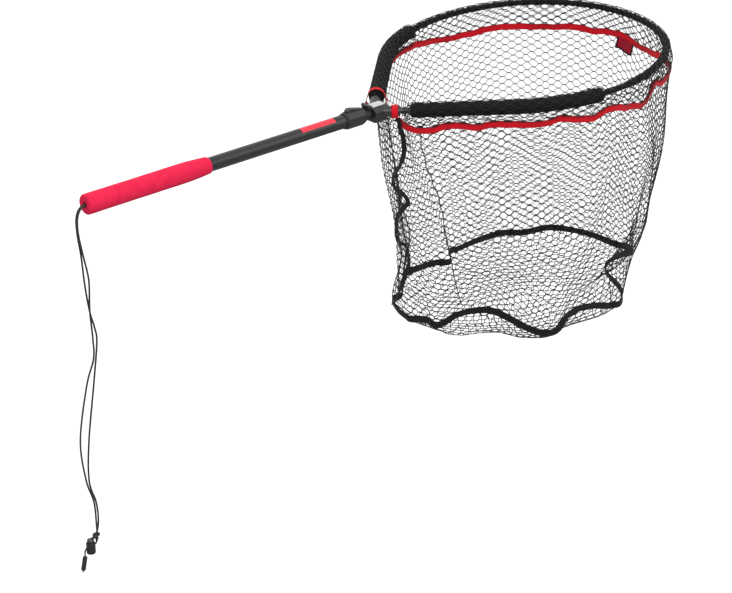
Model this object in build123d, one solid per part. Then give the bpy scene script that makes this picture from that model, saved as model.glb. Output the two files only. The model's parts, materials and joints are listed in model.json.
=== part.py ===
"""Landing net: a foam-gripped telescopic handle, a fold-over head and a hoop with a deep net bag.

Units are millimetres and +Z is up. The origin is the centre of the grip's butt face, and +X
runs along the handle towards the hoop. The hoop leans up slightly from the handle's line, and
the bag hangs straight down.
"""
from build123d import *
import math
import os

os.makedirs("parts", exist_ok=True)

# ---------------------------------------------------------------- driving dimensions
GLUE = 0.05                 # radial gap between pieces that are bonded or screwed together
RUN = 0.05                  # radial gap between pieces that turn or slide on each other

TUBE_R = 13.0               # outer handle tube
TUBE_WALL = 1.5
TUBE_START = 5.0
TUBE_END = 600.0
GRIP_R = 18.3
GRIP_NOSE_R = 15.5
GRIP_LENGTH = 260.0
GRIP_TAPER_START = 205.0
GRIP_END_WALL = 4.0

INNER_R = 10.0              # telescopic inner tube
INNER_WALL = 1.5
INNER_START = 150.0
INNER_END = 623.0

COLLAR_START = 578.0        # twist-lock collar
COLLAR_END = 623.5
COLLAR_FLAT_R = 15.6        # half the width across its eight flats
COLLAR_LIP = 3.5

HINGE_X = 633.0             # fold axis, across the handle above its top
HINGE_Z = 16.0
KNUCKLE_R = 3.8
HINGE_PIN_R = 2.0
KNUCKLE_HALF = 5.2          # half the middle knuckle
EAR_INNER = 5.5
EAR_OUTER = 10.0

BLOCK_START = 638.0         # head block
BLOCK_END = 676.0
BLOCK_BOTTOM = -16.0
BASE_TOP = 7.0
BLOCK_TOP = 13.0
BLOCK_TOP_HALF = 10.6        # half widths of the block's faceted section, from the top down
BLOCK_SPLIT_HALF = 19.4
BLOCK_HALF_WIDTH = 21.0
BLOCK_BOTTOM_HALF = 15.5
PLATE_THICK = 1.4
PLATE_HALF = 9.3
HORN_R = 10.0
SOCKET_END_X = 686.0        # where the arm sockets end

HOOP_R = 5.0                # hoop tube
HOOP_WALL = 1.0
HOOP_TILT = 3.3             # degrees that the hoop leans up from the handle's line
TILT_X = HINGE_X + 37.0     # where the hoop starts to lean up
HOOP_RISE = 2.0             # height of the hoop's middle line there
TIP_CENTRE_X = HINGE_X + 458.0
TIP_ARC_R = 253.0
TIP_ARC_ANGLE = 60.0
SHOULDER_ARC_R = 320.0
ARM_SLOPE = 42.6            # degrees between each straight arm and the handle's line
ARM_START_X = HINGE_X + 31.0

FLOAT_R = 14.5
LOOP_WIDTH_X = 9.2           # webbing loops' width along X
LEFT_LOOP_START = 67.6  # from the hinge pin to the near edge of each webbing loop
RIGHT_LOOP_START = 43.0

FLOAT_START_X = HINGE_X + 67.0
FLOAT_END_ANGLES = {1: 105.0, -1: 101.0}     # where each float stops on its shoulder arc
SLEEVE_R = 6.2

BAG_GAP = 17.0              # from the hoop's plane down to the bag's top edge
BAG_WALL = 2.0
BAG_ROOT_X = HINGE_X + 56.0
RING_Z = -485.0             # the seam between the bag's side wall and its floor
RING_LONG = 0.87            # size of the floor's outline against the hoop's, along X
RING_CROSS = 0.77           # and along Y
RING_CENTRE_X = HINGE_X + 430.0
FLOOR_SAG = 72.0
TAPE_GAP = 0.6
TAPE_THICK = 1.2
MOUTH_TAPE_DROP = 42.0
MOUTH_TAPE_WIDTH = 13.5
BOTTOM_TAPE_WIDTH = 15.0
SIDE_TAPE_WIDTH = 11.0
SIDE_TAPE_SHARE = 0.984  # share of the way round the mouth, from the handle
TAG_SHARE = 0.508
TAG_WIDTH = 42.0
TAG_DEPTH = 24.0

CORD_R = 1.5
CORD_SPACING = 1.8          # half the distance between the doubled strands
SWING_X = -7.0              # where the lanyard swings, just below the butt
SWING_Z = -22.0
SWING_CLEARANCE = 1.5       # room above the swing point for the cord's end to turn
KNOT_X = -22.0
KNOT_Z = -652.0
TOGGLE_X = -36.0
TOGGLE_TOP = -657.0
TOGGLE_BOTTOM = -679.0
TOGGLE_R = 8.5
PLUNGER_R = 6.4
CORD_HOLE_Z = -665.0


# ---------------------------------------------------------------- shared shapes
def save(node, shape):
    """Writes one node's STEP file."""
    shape.label = node
    export_step(shape, f"parts/{node}.step")


def rod_x(radius, start, end, y=0.0, z=0.0):
    """A cylinder along X."""
    bar = Cylinder(radius, end - start, align=(Align.CENTER, Align.CENTER, Align.MIN))
    return Pos(start, y, z) * Rot(0, 90, 0) * bar


def rod_y(radius, start, end, x=0.0, z=0.0):
    """A cylinder along Y."""
    bar = Cylinder(radius, end - start, align=(Align.CENTER, Align.CENTER, Align.MIN))
    return Pos(x, start, z) * Rot(-90, 0, 0) * bar


def rod_z(radius, start, end, x=0.0, y=0.0):
    """A cylinder along Z."""
    bar = Cylinder(radius, end - start, align=(Align.CENTER, Align.CENTER, Align.MIN))
    return Pos(x, y, start) * bar


def block(x0, x1, y0, y1, z0, z1):
    """A box from its corners."""
    return Pos((x0 + x1) / 2, (y0 + y1) / 2, (z0 + z1) / 2) * Box(x1 - x0, y1 - y0, z1 - z0)


def turned(points):
    """A solid of revolution about the handle's axis from (x, radius) points."""
    profile = make_face(Polyline([(x, 0, r) for x, r in points], close=True))
    return revolve(profile, Axis.X)


def coil(radius, wire, bottom, top, turns, x=0.0, y=0.0):
    """A compression spring along Z whose wire stays between bottom and top."""
    height = top - bottom - 2 * wire
    path = Helix(height / turns, height, radius - wire)
    section = Plane(origin=path @ 0, z_dir=path % 0) * Circle(wire)
    return Pos(x, y, bottom + wire) * sweep(section, path, is_frenet=True)


def cord(points, radius=CORD_R):
    """A round cord through a few points."""
    path = Spline(points)
    return sweep(Plane(origin=path @ 0, z_dir=path % 0) * Circle(radius), path)


def tilted(shape):
    """Leans a shape drawn in the level hoop plane up to the hoop's real plane."""
    return Pos(0, 0, HOOP_RISE) * shape.rotate(Axis((TILT_X, 0, 0), (0, 1, 0)), -HOOP_TILT)


# ---------------------------------------------------------------- hoop geometry
TIP_RAD = math.radians(TIP_ARC_ANGLE)
SHOULDER_CENTRE_X = TIP_CENTRE_X + (TIP_ARC_R - SHOULDER_ARC_R) * math.cos(TIP_RAD)
SHOULDER_CENTRE_Y = (TIP_ARC_R - SHOULDER_ARC_R) * math.sin(TIP_RAD)
ARM_ANGLE = 90.0 + ARM_SLOPE


def tip_point(angle):
    """A point on the tip arc, from the hoop's nose at 0 degrees."""
    a = math.radians(angle)
    return TIP_CENTRE_X + TIP_ARC_R * math.cos(a), TIP_ARC_R * math.sin(a)


def shoulder_point(angle):
    """A point on the shoulder arc of the +Y side."""
    a = math.radians(angle)
    return SHOULDER_CENTRE_X + SHOULDER_ARC_R * math.cos(a), SHOULDER_CENTRE_Y + SHOULDER_ARC_R * math.sin(a)


def arm_point(x):
    """The point of the straight +Y arm at this X."""
    sx, sy = shoulder_point(ARM_ANGLE)
    return x, sy + (x - sx) * math.tan(math.radians(ARM_SLOPE))


def mirrored(point, side):
    """A hoop-plane point on the +Y side (side 1) or the -Y side (side -1)."""
    return point[0], side * point[1], 0.0


def side_path(side, start_x, end_angle):
    """One side of the hoop from the arm at start_x round to an angle on the shoulder arc."""
    bend = shoulder_point(ARM_ANGLE)
    middle = shoulder_point((ARM_ANGLE + end_angle) / 2)
    end = shoulder_point(end_angle)
    arm = Line(mirrored(arm_point(start_x), side), mirrored(bend, side))
    arc = ThreePointArc(mirrored(bend, side), mirrored(middle, side), mirrored(end, side))
    return [arm, arc]


def tip_path(gap_angle):
    """The hoop round the tip, from a small angle past one float's end to the same past the other's."""
    edges = []
    for side in (1, -1):
        start_angle = FLOAT_END_ANGLES[side] - gap_angle
        a = shoulder_point(start_angle)
        b = shoulder_point((start_angle + TIP_ARC_ANGLE) / 2)
        c = shoulder_point(TIP_ARC_ANGLE)
        edges.append(ThreePointArc(mirrored(a, side), mirrored(b, side), mirrored(c, side)))
    ends = tip_point(TIP_ARC_ANGLE)
    nose = tip_point(0)
    edges.insert(1, ThreePointArc(mirrored(ends, 1), mirrored(nose, 1), mirrored(ends, -1)))
    return edges


def pipe(edges, outer, inner=0.0):
    """A round pipe or bar along joined edges."""
    path = Wire(edges)
    frame = Plane(origin=path @ 0, z_dir=path % 0)
    shape = sweep(frame * Circle(outer), path)
    if inner:
        shape -= sweep(frame * Circle(inner), path)
    return shape


# ---------------------------------------------------------------- bag geometry
ROOT_SHARES = [0.0, 0.012, 0.02, 0.027, 0.036, 0.05]     # close together round the root's corner
WIDE_SHARES = [0.05 + 0.45 * i / 14 for i in range(1, 15)]
HALF_SHARES = ROOT_SHARES + WIDE_SHARES
SECTION_SHARES = HALF_SHARES + [1 - share for share in reversed(HALF_SHARES[1:-1])]


def rim_half():
    """Points of the bag's mouth on the +Y side, from the root round to the tip, closely spaced."""
    points = [(BAG_ROOT_X, arm_point(BAG_ROOT_X)[1] * i / 10) for i in range(10)]
    bend = shoulder_point(ARM_ANGLE)
    start = arm_point(BAG_ROOT_X)
    points += [(start[0] + (bend[0] - start[0]) * i / 40, start[1] + (bend[1] - start[1]) * i / 40)
               for i in range(40)]
    points += [shoulder_point(ARM_ANGLE + (TIP_ARC_ANGLE - ARM_ANGLE) * i / 60) for i in range(60)]
    points += [tip_point(TIP_ARC_ANGLE * (1 - i / 40)) for i in range(41)]
    return points


RIM = rim_half()
RIM_LENGTHS = [0.0]
for first, second in zip(RIM, RIM[1:]):
    RIM_LENGTHS.append(RIM_LENGTHS[-1] + math.dist(first, second))


def rim_point(t):
    """A point of the mouth's outline, t from 0 at the root, 0.5 at the tip, back to 1 at the root."""
    t = t % 1.0
    side = 1 if t <= 0.5 else -1
    want = RIM_LENGTHS[-1] * (t if t <= 0.5 else 1 - t) * 2
    index = max(i for i in range(len(RIM) - 1) if RIM_LENGTHS[i] <= want)
    share = (want - RIM_LENGTHS[index]) / (RIM_LENGTHS[index + 1] - RIM_LENGTHS[index])
    x = RIM[index][0] + (RIM[index + 1][0] - RIM[index][0]) * share
    y = RIM[index][1] + (RIM[index + 1][1] - RIM[index][1]) * share
    return x, side * y


def bag_point(t, depth, out=0.0, shrink=1.0, raise_z=0.0):
    """A point of the bag's side wall. depth is 0 at the mouth and 1 at the floor seam."""
    a = rim_point(t - 0.004)
    b = rim_point(t + 0.004)
    run = math.dist(a, b)
    x, y = rim_point(t)
    middle_x = (BAG_ROOT_X + TIP_CENTRE_X + TIP_ARC_R) / 2
    ring_x = RING_CENTRE_X + (x - middle_x) * RING_LONG
    ring_y = y * RING_CROSS
    x = x + (ring_x - x) * depth + out * (a[1] - b[1]) / run
    y = y + (ring_y - y) * depth + out * (b[0] - a[0]) / run
    x = RING_CENTRE_X + (x - RING_CENTRE_X) * shrink
    y = y * shrink
    lean = math.tan(math.radians(HOOP_TILT)) * (1 - depth)
    top = lean * (x - TILT_X) + (HOOP_RISE - BAG_GAP) * (1 - depth)
    return x, y, top + RING_Z * depth + raise_z


def bag_section(depth, out=0.0, shrink=1.0, raise_z=0.0):
    """A closed face across the bag."""
    points = [bag_point(share, depth, out, shrink, raise_z) for share in SECTION_SHARES]
    return make_face(Spline(points, periodic=True))


def bag_volume(out, lift, top_raise):
    """The filled bag, offset outward by out and with its floor raised by lift."""
    sections = [bag_section(0.0, out, raise_z=top_raise), bag_section(1.0, out)]
    for shrink in (0.92, 0.78, 0.55, 0.25):
        drop = -FLOOR_SAG * (1 - shrink ** 2.5)
        sections.append(bag_section(1.0, out, shrink, drop + lift))
    return loft(sections, ruled=True)


def depth_at(drop):
    """The side wall's depth value at a drop below the hoop's plane."""
    return (drop - BAG_GAP) / (-RING_Z - BAG_GAP)


def tape_ring(depth_low, depth_high):
    """A flat tape round the outside of the bag between two depths."""
    outer = loft([bag_section(d, TAPE_GAP + TAPE_THICK) for d in (depth_high, depth_low)], ruled=True)
    inner = loft([bag_section(d, TAPE_GAP) for d in (depth_high, depth_low)], ruled=True)
    return outer - inner


def tape_strip(t_middle, width, depth_start, depth_end, out=TAPE_GAP):
    """A flat tape down the outside of the bag."""
    half = width / 2 / (2 * RIM_LENGTHS[-1])
    sections = []
    for depth in (depth_start, depth_end):
        corners = [
            bag_point(t_middle - half, depth, out),
            bag_point(t_middle + half, depth, out),
            bag_point(t_middle + half, depth, out + TAPE_THICK),
            bag_point(t_middle - half, depth, out + TAPE_THICK),
        ]
        sections.append(make_face(Polyline(corners, close=True)))
    return loft(sections, ruled=True)


# ---------------------------------------------------------------- handle
def handle_tube():
    """The outer aluminium tube."""
    tube = rod_x(TUBE_R, TUBE_START, TUBE_END) - rod_x(TUBE_R - TUBE_WALL, TUBE_START - 1, TUBE_END + 1)
    return tube


def grip():
    """The foam sleeve: a rounded butt, a long straight body and a shallow taper to its nose."""
    outline = [(0.0, 0.0), (0.0, GRIP_R - 4)]
    for i in range(1, 7):
        a = math.radians(90 * i / 6)
        outline.append((4 - 4 * math.cos(a), GRIP_R - 4 + 4 * math.sin(a)))
    for i in range(0, 9):
        share = i / 8
        drop = (GRIP_R - GRIP_NOSE_R) * share ** 1.6
        outline.append((GRIP_TAPER_START + (GRIP_LENGTH - 1.0 - GRIP_TAPER_START) * share, GRIP_R - drop))
    outline.append((GRIP_LENGTH, GRIP_NOSE_R - 0.8))
    outline.append((GRIP_LENGTH, 0.0))
    body = turned(outline)
    body -= rod_x(TUBE_R + GLUE, GRIP_END_WALL, GRIP_LENGTH + 1)
    body -= rod_x(5.0, -1, GRIP_END_WALL + 1)
    return body


def butt_plug():
    """Closes the tube's rear and holds the pin that the lanyard loops round."""
    body = rod_x(TUBE_R - TUBE_WALL - GLUE, TUBE_START + 0.5, TUBE_START + 32)
    body -= block(0, TUBE_START + 24, -6, 6, -2.4, 2.4)
    body -= rod_z(2.0 + GLUE, -15, 15, x=TUBE_START + 15)
    return body


def cord_anchor_pin():
    """Steel cross pin in the butt plug."""
    return rod_z(2.0, -10.8, 10.8, x=TUBE_START + 15)


def cord_loop():
    """The lanyard's bight round its pin, out through the butt and down to where it swings."""
    pin_x = TUBE_START + 15
    side = [
        (SWING_X, CORD_SPACING, SWING_Z + SWING_CLEARANCE),
        (-6.3, CORD_SPACING, -13.0),
        (-3.4, CORD_SPACING, -4.2),
        (2.0, CORD_SPACING, -0.5),
        (10.0, 2.9, 0.0),
        (pin_x, 4.1, 0.0),
        (pin_x + 2.9, 2.9, 0.0),
    ]
    back = [(x, -y, z) for x, y, z in reversed(side)]
    return cord(side + [(pin_x + 4.1, 0.0, 0.0)] + back)


def handle_label():
    """A plain coloured band on the tube, over part of its upper side."""
    band = rod_x(TUBE_R + 0.25, 470, 549) - rod_x(TUBE_R + 0.03, 469, 550)
    wedge = block(469, 550, -6, 6, 5, 20).rotate(Axis.X, 22)
    return band & wedge


def collet_bush():
    """Lines the tube's front end and grips the inner tube with four fingers when the collar turns."""
    bore = INNER_R + RUN
    body = turned([(562, 0), (562, 11.45), (600.1, 11.45), (600.1, 12.4), (608, 12.4), (618, 11.2), (618, 0)])
    body -= rod_x(bore, 561, 619)
    for angle in (0, 90):
        body -= block(603, 620, -13, 13, -0.6, 0.6).rotate(Axis.X, angle + 45)
    return body


def collar_seal():
    """Rubber ring behind the collar."""
    return rod_x(14.8, 574.5, 577.6) - rod_x(TUBE_R + GLUE, 574, 578)


def lock_collar():
    """Eight-sided twist-lock collar with a thumb ridge that slopes down towards the head."""
    prism = extrude(RegularPolygon(COLLAR_FLAT_R, 8, major_radius=False, rotation=22.5), COLLAR_END - COLLAR_START)
    body = Pos(COLLAR_START, 0, 0) * Rot(0, 90, 0) * prism
    body &= turned([
        (COLLAR_START, 0), (COLLAR_START, 14.6), (COLLAR_START + 2, 16.9), (COLLAR_END - 7, 16.9),
        (COLLAR_END, 13.6), (COLLAR_END, 0),
    ])
    side = Polyline([
        (COLLAR_START + 4, 0, 10), (COLLAR_START + 4, 0, 18.5), (COLLAR_START + 8, 0, 22),
        (COLLAR_START + 14, 0, 21.8), (COLLAR_END - 3, 0, 15.2), (COLLAR_END - 3, 0, 10),
    ], close=True)
    ridge = extrude(make_face(side), 5.5, both=True)
    body += ridge
    body -= rod_x(TUBE_R + RUN, COLLAR_START - 1, 600.6)
    body -= rod_x(12.4 + RUN, 600, COLLAR_END - COLLAR_LIP)
    body -= rod_x(INNER_R + 0.4, 600, COLLAR_END + 1)
    return body


# ---------------------------------------------------------------- telescopic inner tube
def inner_tube():
    """Slides in the handle tube and carries the hinge fitting."""
    tube = rod_x(INNER_R, INNER_START, INNER_END)
    tube -= rod_x(INNER_R - INNER_WALL, INNER_START - 1, INNER_END + 1)
    tube -= rod_y(2.0 + GLUE, -15, 15, x=612)
    tube -= rod_y(1.5 + GLUE, -15, 15, x=INNER_START + 12)
    return tube


def inner_guide():
    """Nylon guide on the inner tube's rear end, running in the handle tube."""
    body = rod_x(TUBE_R - TUBE_WALL - RUN, INNER_START - 14, INNER_START - 0.1)
    body += rod_x(INNER_R - INNER_WALL - GLUE, INNER_START - 1, INNER_START + 24)
    body -= rod_x(5.5, INNER_START - 15, INNER_START + 25)
    body -= rod_y(1.5 + GLUE, -15, 15, x=INNER_START + 12)
    return body


def guide_pin():
    """Cross pin that holds the guide in the inner tube."""
    return rod_y(1.5, -9.6, 9.6, x=INNER_START + 12)


def hinge_fitting():
    """Plugs the inner tube, fills the neck behind the head and carries the hinge's two ears."""
    body = rod_x(INNER_R - INNER_WALL - GLUE, 585, 626)
    body += rod_x(11.6, COLLAR_END + 0.8, BLOCK_START - 0.6)
    body -= rod_x(5.0, 584, 630)
    body -= rod_y(2.0 + GLUE, -15, 15, x=612)
    for side in (-1, 1):
        low, high = sorted((side * EAR_INNER, side * EAR_OUTER))
        ear = rod_y(KNUCKLE_R, low, high, HINGE_X, HINGE_Z)
        ear += block(HINGE_X - KNUCKLE_R, HINGE_X + KNUCKLE_R, low, high, 2, HINGE_Z)
        body += ear
    body -= rod_y(HINGE_PIN_R + GLUE, -20, 20, HINGE_X, HINGE_Z)
    body -= rod_y(KNUCKLE_R + 0.5, -EAR_INNER, EAR_INNER, HINGE_X, HINGE_Z)
    body -= block(HINGE_X + 1.5, BLOCK_START, -5.5, 5.5, -15.0, -8.5)
    return body


def fitting_pin():
    """Cross pin through the inner tube and the hinge fitting."""
    return rod_y(2.0, -9.5, 9.5, x=612)


def hinge_pin():
    """The fold axis."""
    return rod_y(HINGE_PIN_R, -EAR_OUTER - 1.6, EAR_OUTER + 1.6, HINGE_X, HINGE_Z)


def hinge_pin_caps():
    """Push-on caps at both ends of the hinge pin."""
    caps = []
    for side in (-1, 1):
        low, high = sorted((side * (EAR_OUTER + 0.1), side * (EAR_OUTER + 2.4)))
        cap = rod_y(3.4, low, high, HINGE_X, HINGE_Z)
        caps.append(cap - hole_for_pin(side))
    return Compound(children=caps)


def hole_for_pin(side):
    """The blind hole of a pin cap."""
    low, high = sorted((side * EAR_OUTER, side * (EAR_OUTER + 1.7)))
    return rod_y(HINGE_PIN_R + GLUE, low, high, HINGE_X, HINGE_Z)


# ---------------------------------------------------------------- head block
def horn(side, radius, start_x, end_x):
    """A round bar along one arm between two X positions."""
    edge = Line(mirrored(arm_point(start_x), side), mirrored(arm_point(end_x), side))
    return tilted(pipe([edge], radius))


SCREW_X = HINGE_X + 36.5
SCREW_SEAT_Z = -7.0
COVER_SCREW_Y = 13.0
COVER_SCREW_TOP = 10.0


def faceted(outline):
    """A length of the block from half its outline across the handle, as (y, z) points."""
    points = [(BLOCK_START, y, z) for y, z in outline] + [(BLOCK_START, -y, z) for y, z in reversed(outline)]
    return extrude(make_face(Polyline(points, close=True)), BLOCK_END - BLOCK_START, dir=(1, 0, 0))


def head_base():
    """The head's moulded body: arm sockets, latch pocket and the hinge's middle knuckle."""
    body = faceted([
        (BLOCK_BOTTOM_HALF, BLOCK_BOTTOM), (BLOCK_HALF_WIDTH, BLOCK_BOTTOM + 6), (BLOCK_HALF_WIDTH, BASE_TOP - 1.4),
        (BLOCK_SPLIT_HALF, BASE_TOP),
    ])
    body = chamfer(body.edges().filter_by(Axis.Y).group_by(Axis.Z)[0], 2)
    for side in (1, -1):
        body += horn(side, HORN_R, ARM_START_X - 12, SOCKET_END_X)
    body += rod_y(KNUCKLE_R, -KNUCKLE_HALF, KNUCKLE_HALF, HINGE_X, HINGE_Z)
    web = make_face(Polyline([
        (HINGE_X, 0, HINGE_Z + KNUCKLE_R), (HINGE_X + 3.6, 0, HINGE_Z + 1), (HINGE_X + 4.6, 0, BLOCK_TOP),
        (HINGE_X + 6.2, 0, BLOCK_TOP), (HINGE_X + 6.2, 0, 4), (BLOCK_START, 0, 4),
        (BLOCK_START, 0, HINGE_Z - KNUCKLE_R), (HINGE_X, 0, HINGE_Z - KNUCKLE_R),
    ], close=True))
    body += extrude(web, KNUCKLE_HALF, both=True)
    for side in (1, -1):
        body -= horn(side, HOOP_R + GLUE, ARM_START_X, SOCKET_END_X + 4)
        x, y = arm_point(SCREW_X)
        body -= rod_z(2.0 + GLUE, -30, 0, x, side * y)
        body -= rod_z(3.6, -30, SCREW_SEAT_Z, x, side * y)
    body -= rod_y(HINGE_PIN_R + RUN, -20, 20, HINGE_X, HINGE_Z)
    body -= block(647.0, 671.0, -7.2, 7.2, -20, 0)
    body -= block(645.0, 673.0, -8.8, 8.8, -12, BASE_TOP + 1)
    body -= block(BLOCK_START - 1, 650, -4.2, 4.2, -12, -6.4)
    for x, y in cover_screw_places():
        body -= rod_z(1.25 + GLUE, -30, COVER_SCREW_TOP + 0.2, x, y)
        body -= rod_z(2.4, -30, BLOCK_BOTTOM + 3, x, y)
    return body


def cover_screw_places():
    """Where the four cover screws stand, entered from below."""
    return [(x, y) for x in (BLOCK_START + 5, BLOCK_START + 17) for y in (COVER_SCREW_Y, -COVER_SCREW_Y)]


def head_cover():
    """The lid of the head block, with a notch for the hinge."""
    body = faceted([(BLOCK_SPLIT_HALF, BASE_TOP + 0.05), (BLOCK_TOP_HALF, BLOCK_TOP)])
    body = chamfer(body.faces().sort_by(Axis.X)[-1].edges().filter_by(Axis.Y).group_by(Axis.Z)[-1], 2.5)
    body -= block(BLOCK_START - 1, HINGE_X + 6.4, -KNUCKLE_HALF - 0.2, KNUCKLE_HALF + 0.2, 0, 30)
    for side in (1, -1):
        body -= horn(side, HORN_R + 0.1, ARM_START_X - 20, SOCKET_END_X)
    body -= rod_y(KNUCKLE_R + 1.3, EAR_INNER - 0.3, 25, HINGE_X, HINGE_Z)
    body -= rod_y(KNUCKLE_R + 1.3, -25, -EAR_INNER + 0.3, HINGE_X, HINGE_Z)
    for x, y in cover_screw_places():
        body -= rod_z(1.25 + GLUE, 0, COVER_SCREW_TOP + 0.2, x, y)
    return body


def cover_screws():
    """Four long screws that hold the lid from below."""
    screws = []
    for x, y in cover_screw_places():
        screw = rod_z(1.25, BLOCK_BOTTOM + 2.9, COVER_SCREW_TOP, x, y)
        screw += rod_z(2.3, BLOCK_BOTTOM + 0.8, BLOCK_BOTTOM + 2.95, x, y)
        screw -= block(x - 1.6, x + 1.6, y - 0.35, y + 0.35, BLOCK_BOTTOM, BLOCK_BOTTOM + 1.5)
        screws.append(screw)
    return Compound(children=screws)


def name_plate():
    """A plain bright metal plate on the lid, with its corners cut."""
    plate = block(HINGE_X + 6.8, BLOCK_END - 4, -PLATE_HALF, PLATE_HALF, BLOCK_TOP + 0.05, BLOCK_TOP + PLATE_THICK)
    plate = chamfer(plate.edges().filter_by(Axis.Z), 2.0)
    return chamfer(plate.faces().sort_by(Axis.Z)[-1].edges(), 0.4)


def latch_button():
    """The press button under the head that frees the fold, with its tongue towards the fitting."""
    body = block(647.3, 670.7, -6.9, 6.9, -21.5, -11.9)
    body = chamfer(body.faces().sort_by(Axis.Z)[0].edges(), 2.2)
    body += block(645.3, 672.7, -8.5, 8.5, -11.9, -9.9)
    body += block(BLOCK_START - 0.3, 650, -3.9, 3.9, -11.9, -9.9)
    for i in range(4):
        body -= rod_y(0.7, -20, 20, 653 + 4 * i, -21.9)
    return body


def latch_spring():
    """Pushes the button out."""
    return coil(5.0, 0.5, -9.8, BASE_TOP - 0.1, 6, x=659)


def arm_screws():
    """Two screws that hold the hoop's ends in their sockets, from below."""
    screws = []
    for side in (1, -1):
        x, y = arm_point(SCREW_X)
        shank = rod_z(2.0, SCREW_SEAT_Z - 0.1, -1.6, x, side * y)
        head = rod_z(3.5, SCREW_SEAT_Z - 3, SCREW_SEAT_Z - 0.05, x, side * y)
        head -= Pos(x, side * y, SCREW_SEAT_Z - 3.1) * extrude(RegularPolygon(1.6, 6), 1.8)
        screws.append(shank + head)
    return Compound(children=screws)


# ---------------------------------------------------------------- hoop
def hoop_tube():
    """The bent aluminium hoop, one tube from arm end to arm end."""
    arc_end = shoulder_point(TIP_ARC_ANGLE)
    edges = side_path(1, ARM_START_X, TIP_ARC_ANGLE)
    edges.append(ThreePointArc((*arc_end, 0), mirrored(tip_point(0), 1), (arc_end[0], -arc_end[1], 0)))
    edges += side_path(-1, ARM_START_X, TIP_ARC_ANGLE)
    body = tilted(pipe(edges, HOOP_R, HOOP_R - HOOP_WALL))
    for side in (1, -1):
        x, y = arm_point(SCREW_X)
        body -= rod_z(2.0 + GLUE, -20, -1.5, x, side * y)
    return body


def float_tube(side):
    """A foam float tube round one arm and shoulder of the hoop."""
    tube = pipe(side_path(side, FLOAT_START_X, FLOAT_END_ANGLES[side]), FLOAT_R, HOOP_R + GLUE)
    return tilted(tube)


def rim_sleeve():
    """The braided cover between the two floats, round the tip."""
    return tilted(pipe(tip_path(0.4), SLEEVE_R, HOOP_R + GLUE))


def arm_bands():
    """The stop rings between each socket and its float."""
    rings = []
    for side in (1, -1):
        ring = horn(side, 7.0, HINGE_X + 57.0, HINGE_X + 61.0)
        rings.append(ring - horn(side, HOOP_R + GLUE, HINGE_X + 52, HINGE_X + 66))
    return Compound(children=rings)


def webbing_loop(side, inner, start):
    """A webbing loop sewn round one arm, from its inner radius and where it starts past the fold axis."""
    ring = horn(side, inner + 1.3, HINGE_X + start, HINGE_X + start + LOOP_WIDTH_X)
    return ring - horn(side, inner, HINGE_X + start - 4, HINGE_X + start + LOOP_WIDTH_X + 4)


# ---------------------------------------------------------------- bag
def net_bag():
    """The net bag as a thin-walled basket that is open at its mouth."""
    return bag_volume(0.0, 0.0, 0.0) - bag_volume(-BAG_WALL, BAG_WALL, 3.0)


def mouth_tape():
    """Red webbing sewn round the bag below its mouth."""
    half = MOUTH_TAPE_WIDTH / 2
    return tape_ring(depth_at(MOUTH_TAPE_DROP + half), depth_at(MOUTH_TAPE_DROP - half))


def bottom_tape():
    """Black tape over the seam between the side wall and the floor."""
    return tape_ring(0.999, 0.999 - BOTTOM_TAPE_WIDTH / (-RING_Z))


def side_tape():
    """Black tape down the bag's side seam, near the root."""
    start = depth_at(MOUTH_TAPE_DROP + MOUTH_TAPE_WIDTH / 2 + 1)
    end = 0.999 - (BOTTOM_TAPE_WIDTH + 1.5) / (-RING_Z)
    return tape_strip(SIDE_TAPE_SHARE, SIDE_TAPE_WIDTH, start, end, TAPE_GAP + 0.5)


def net_tag():
    """A plain woven tag that hangs from the mouth webbing near the tip."""
    start = depth_at(MOUTH_TAPE_DROP + MOUTH_TAPE_WIDTH / 2 + 0.5)
    end = depth_at(MOUTH_TAPE_DROP + MOUTH_TAPE_WIDTH / 2 + TAG_DEPTH)
    return tape_strip(TAG_SHARE, TAG_WIDTH, start, end, TAPE_GAP + 1.3)


# ---------------------------------------------------------------- lanyard
def lanyard_cord():
    """The two hanging strands, which cross once and meet at the knot."""
    end_z = KNOT_Z + 6.5
    front = [
        (SWING_X, SWING_Z - 0.6), (-13, -60), (-9, -150), (3, -250), (-18, -335),
        (-45, -440), (-40, -515), (-24, -600), (KNOT_X, end_z),
    ]
    back = [
        (SWING_X, SWING_Z - 0.6), (-10, -70), (2, -140), (6, -250), (-4, -345),
        (-21, -450), (-24, -530), (-20, -605), (KNOT_X, end_z),
    ]
    strands = [cord([(x, -CORD_SPACING, z) for x, z in front]), cord([(x, CORD_SPACING, z) for x, z in back])]
    return Compound(children=strands)


def stopper_knot():
    """The knot that joins the strands."""
    ball = Pos(KNOT_X, 0, KNOT_Z) * Sphere(6.0)
    return ball & block(KNOT_X - 8, KNOT_X + 8, -5.5, 5.5, KNOT_Z - 5.6, KNOT_Z + 5.6)


def toggle_body():
    """The barrel of the spring cord lock."""
    body = rod_z(TOGGLE_R, TOGGLE_BOTTOM, TOGGLE_TOP, TOGGLE_X)
    body = fillet(body.edges().filter_by(GeomType.CIRCLE), 1.5)
    body -= rod_z(PLUNGER_R + RUN, TOGGLE_BOTTOM + 1.6, TOGGLE_TOP + 1, TOGGLE_X)
    body -= rod_x(2.4, TOGGLE_X - 12, TOGGLE_X + 12, z=CORD_HOLE_Z)
    return body


def toggle_plunger():
    """The sprung plunger of the cord lock."""
    body = rod_z(PLUNGER_R, TOGGLE_BOTTOM + 10, TOGGLE_TOP + 6.5, TOGGLE_X)
    body = chamfer(body.edges().filter_by(GeomType.CIRCLE).sort_by(Axis.Z)[-1], 1.0)
    body -= block(TOGGLE_X - 10, TOGGLE_X + 10, -1.9, 1.9, CORD_HOLE_Z - 2.4, CORD_HOLE_Z + 6.2)
    return body


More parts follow.
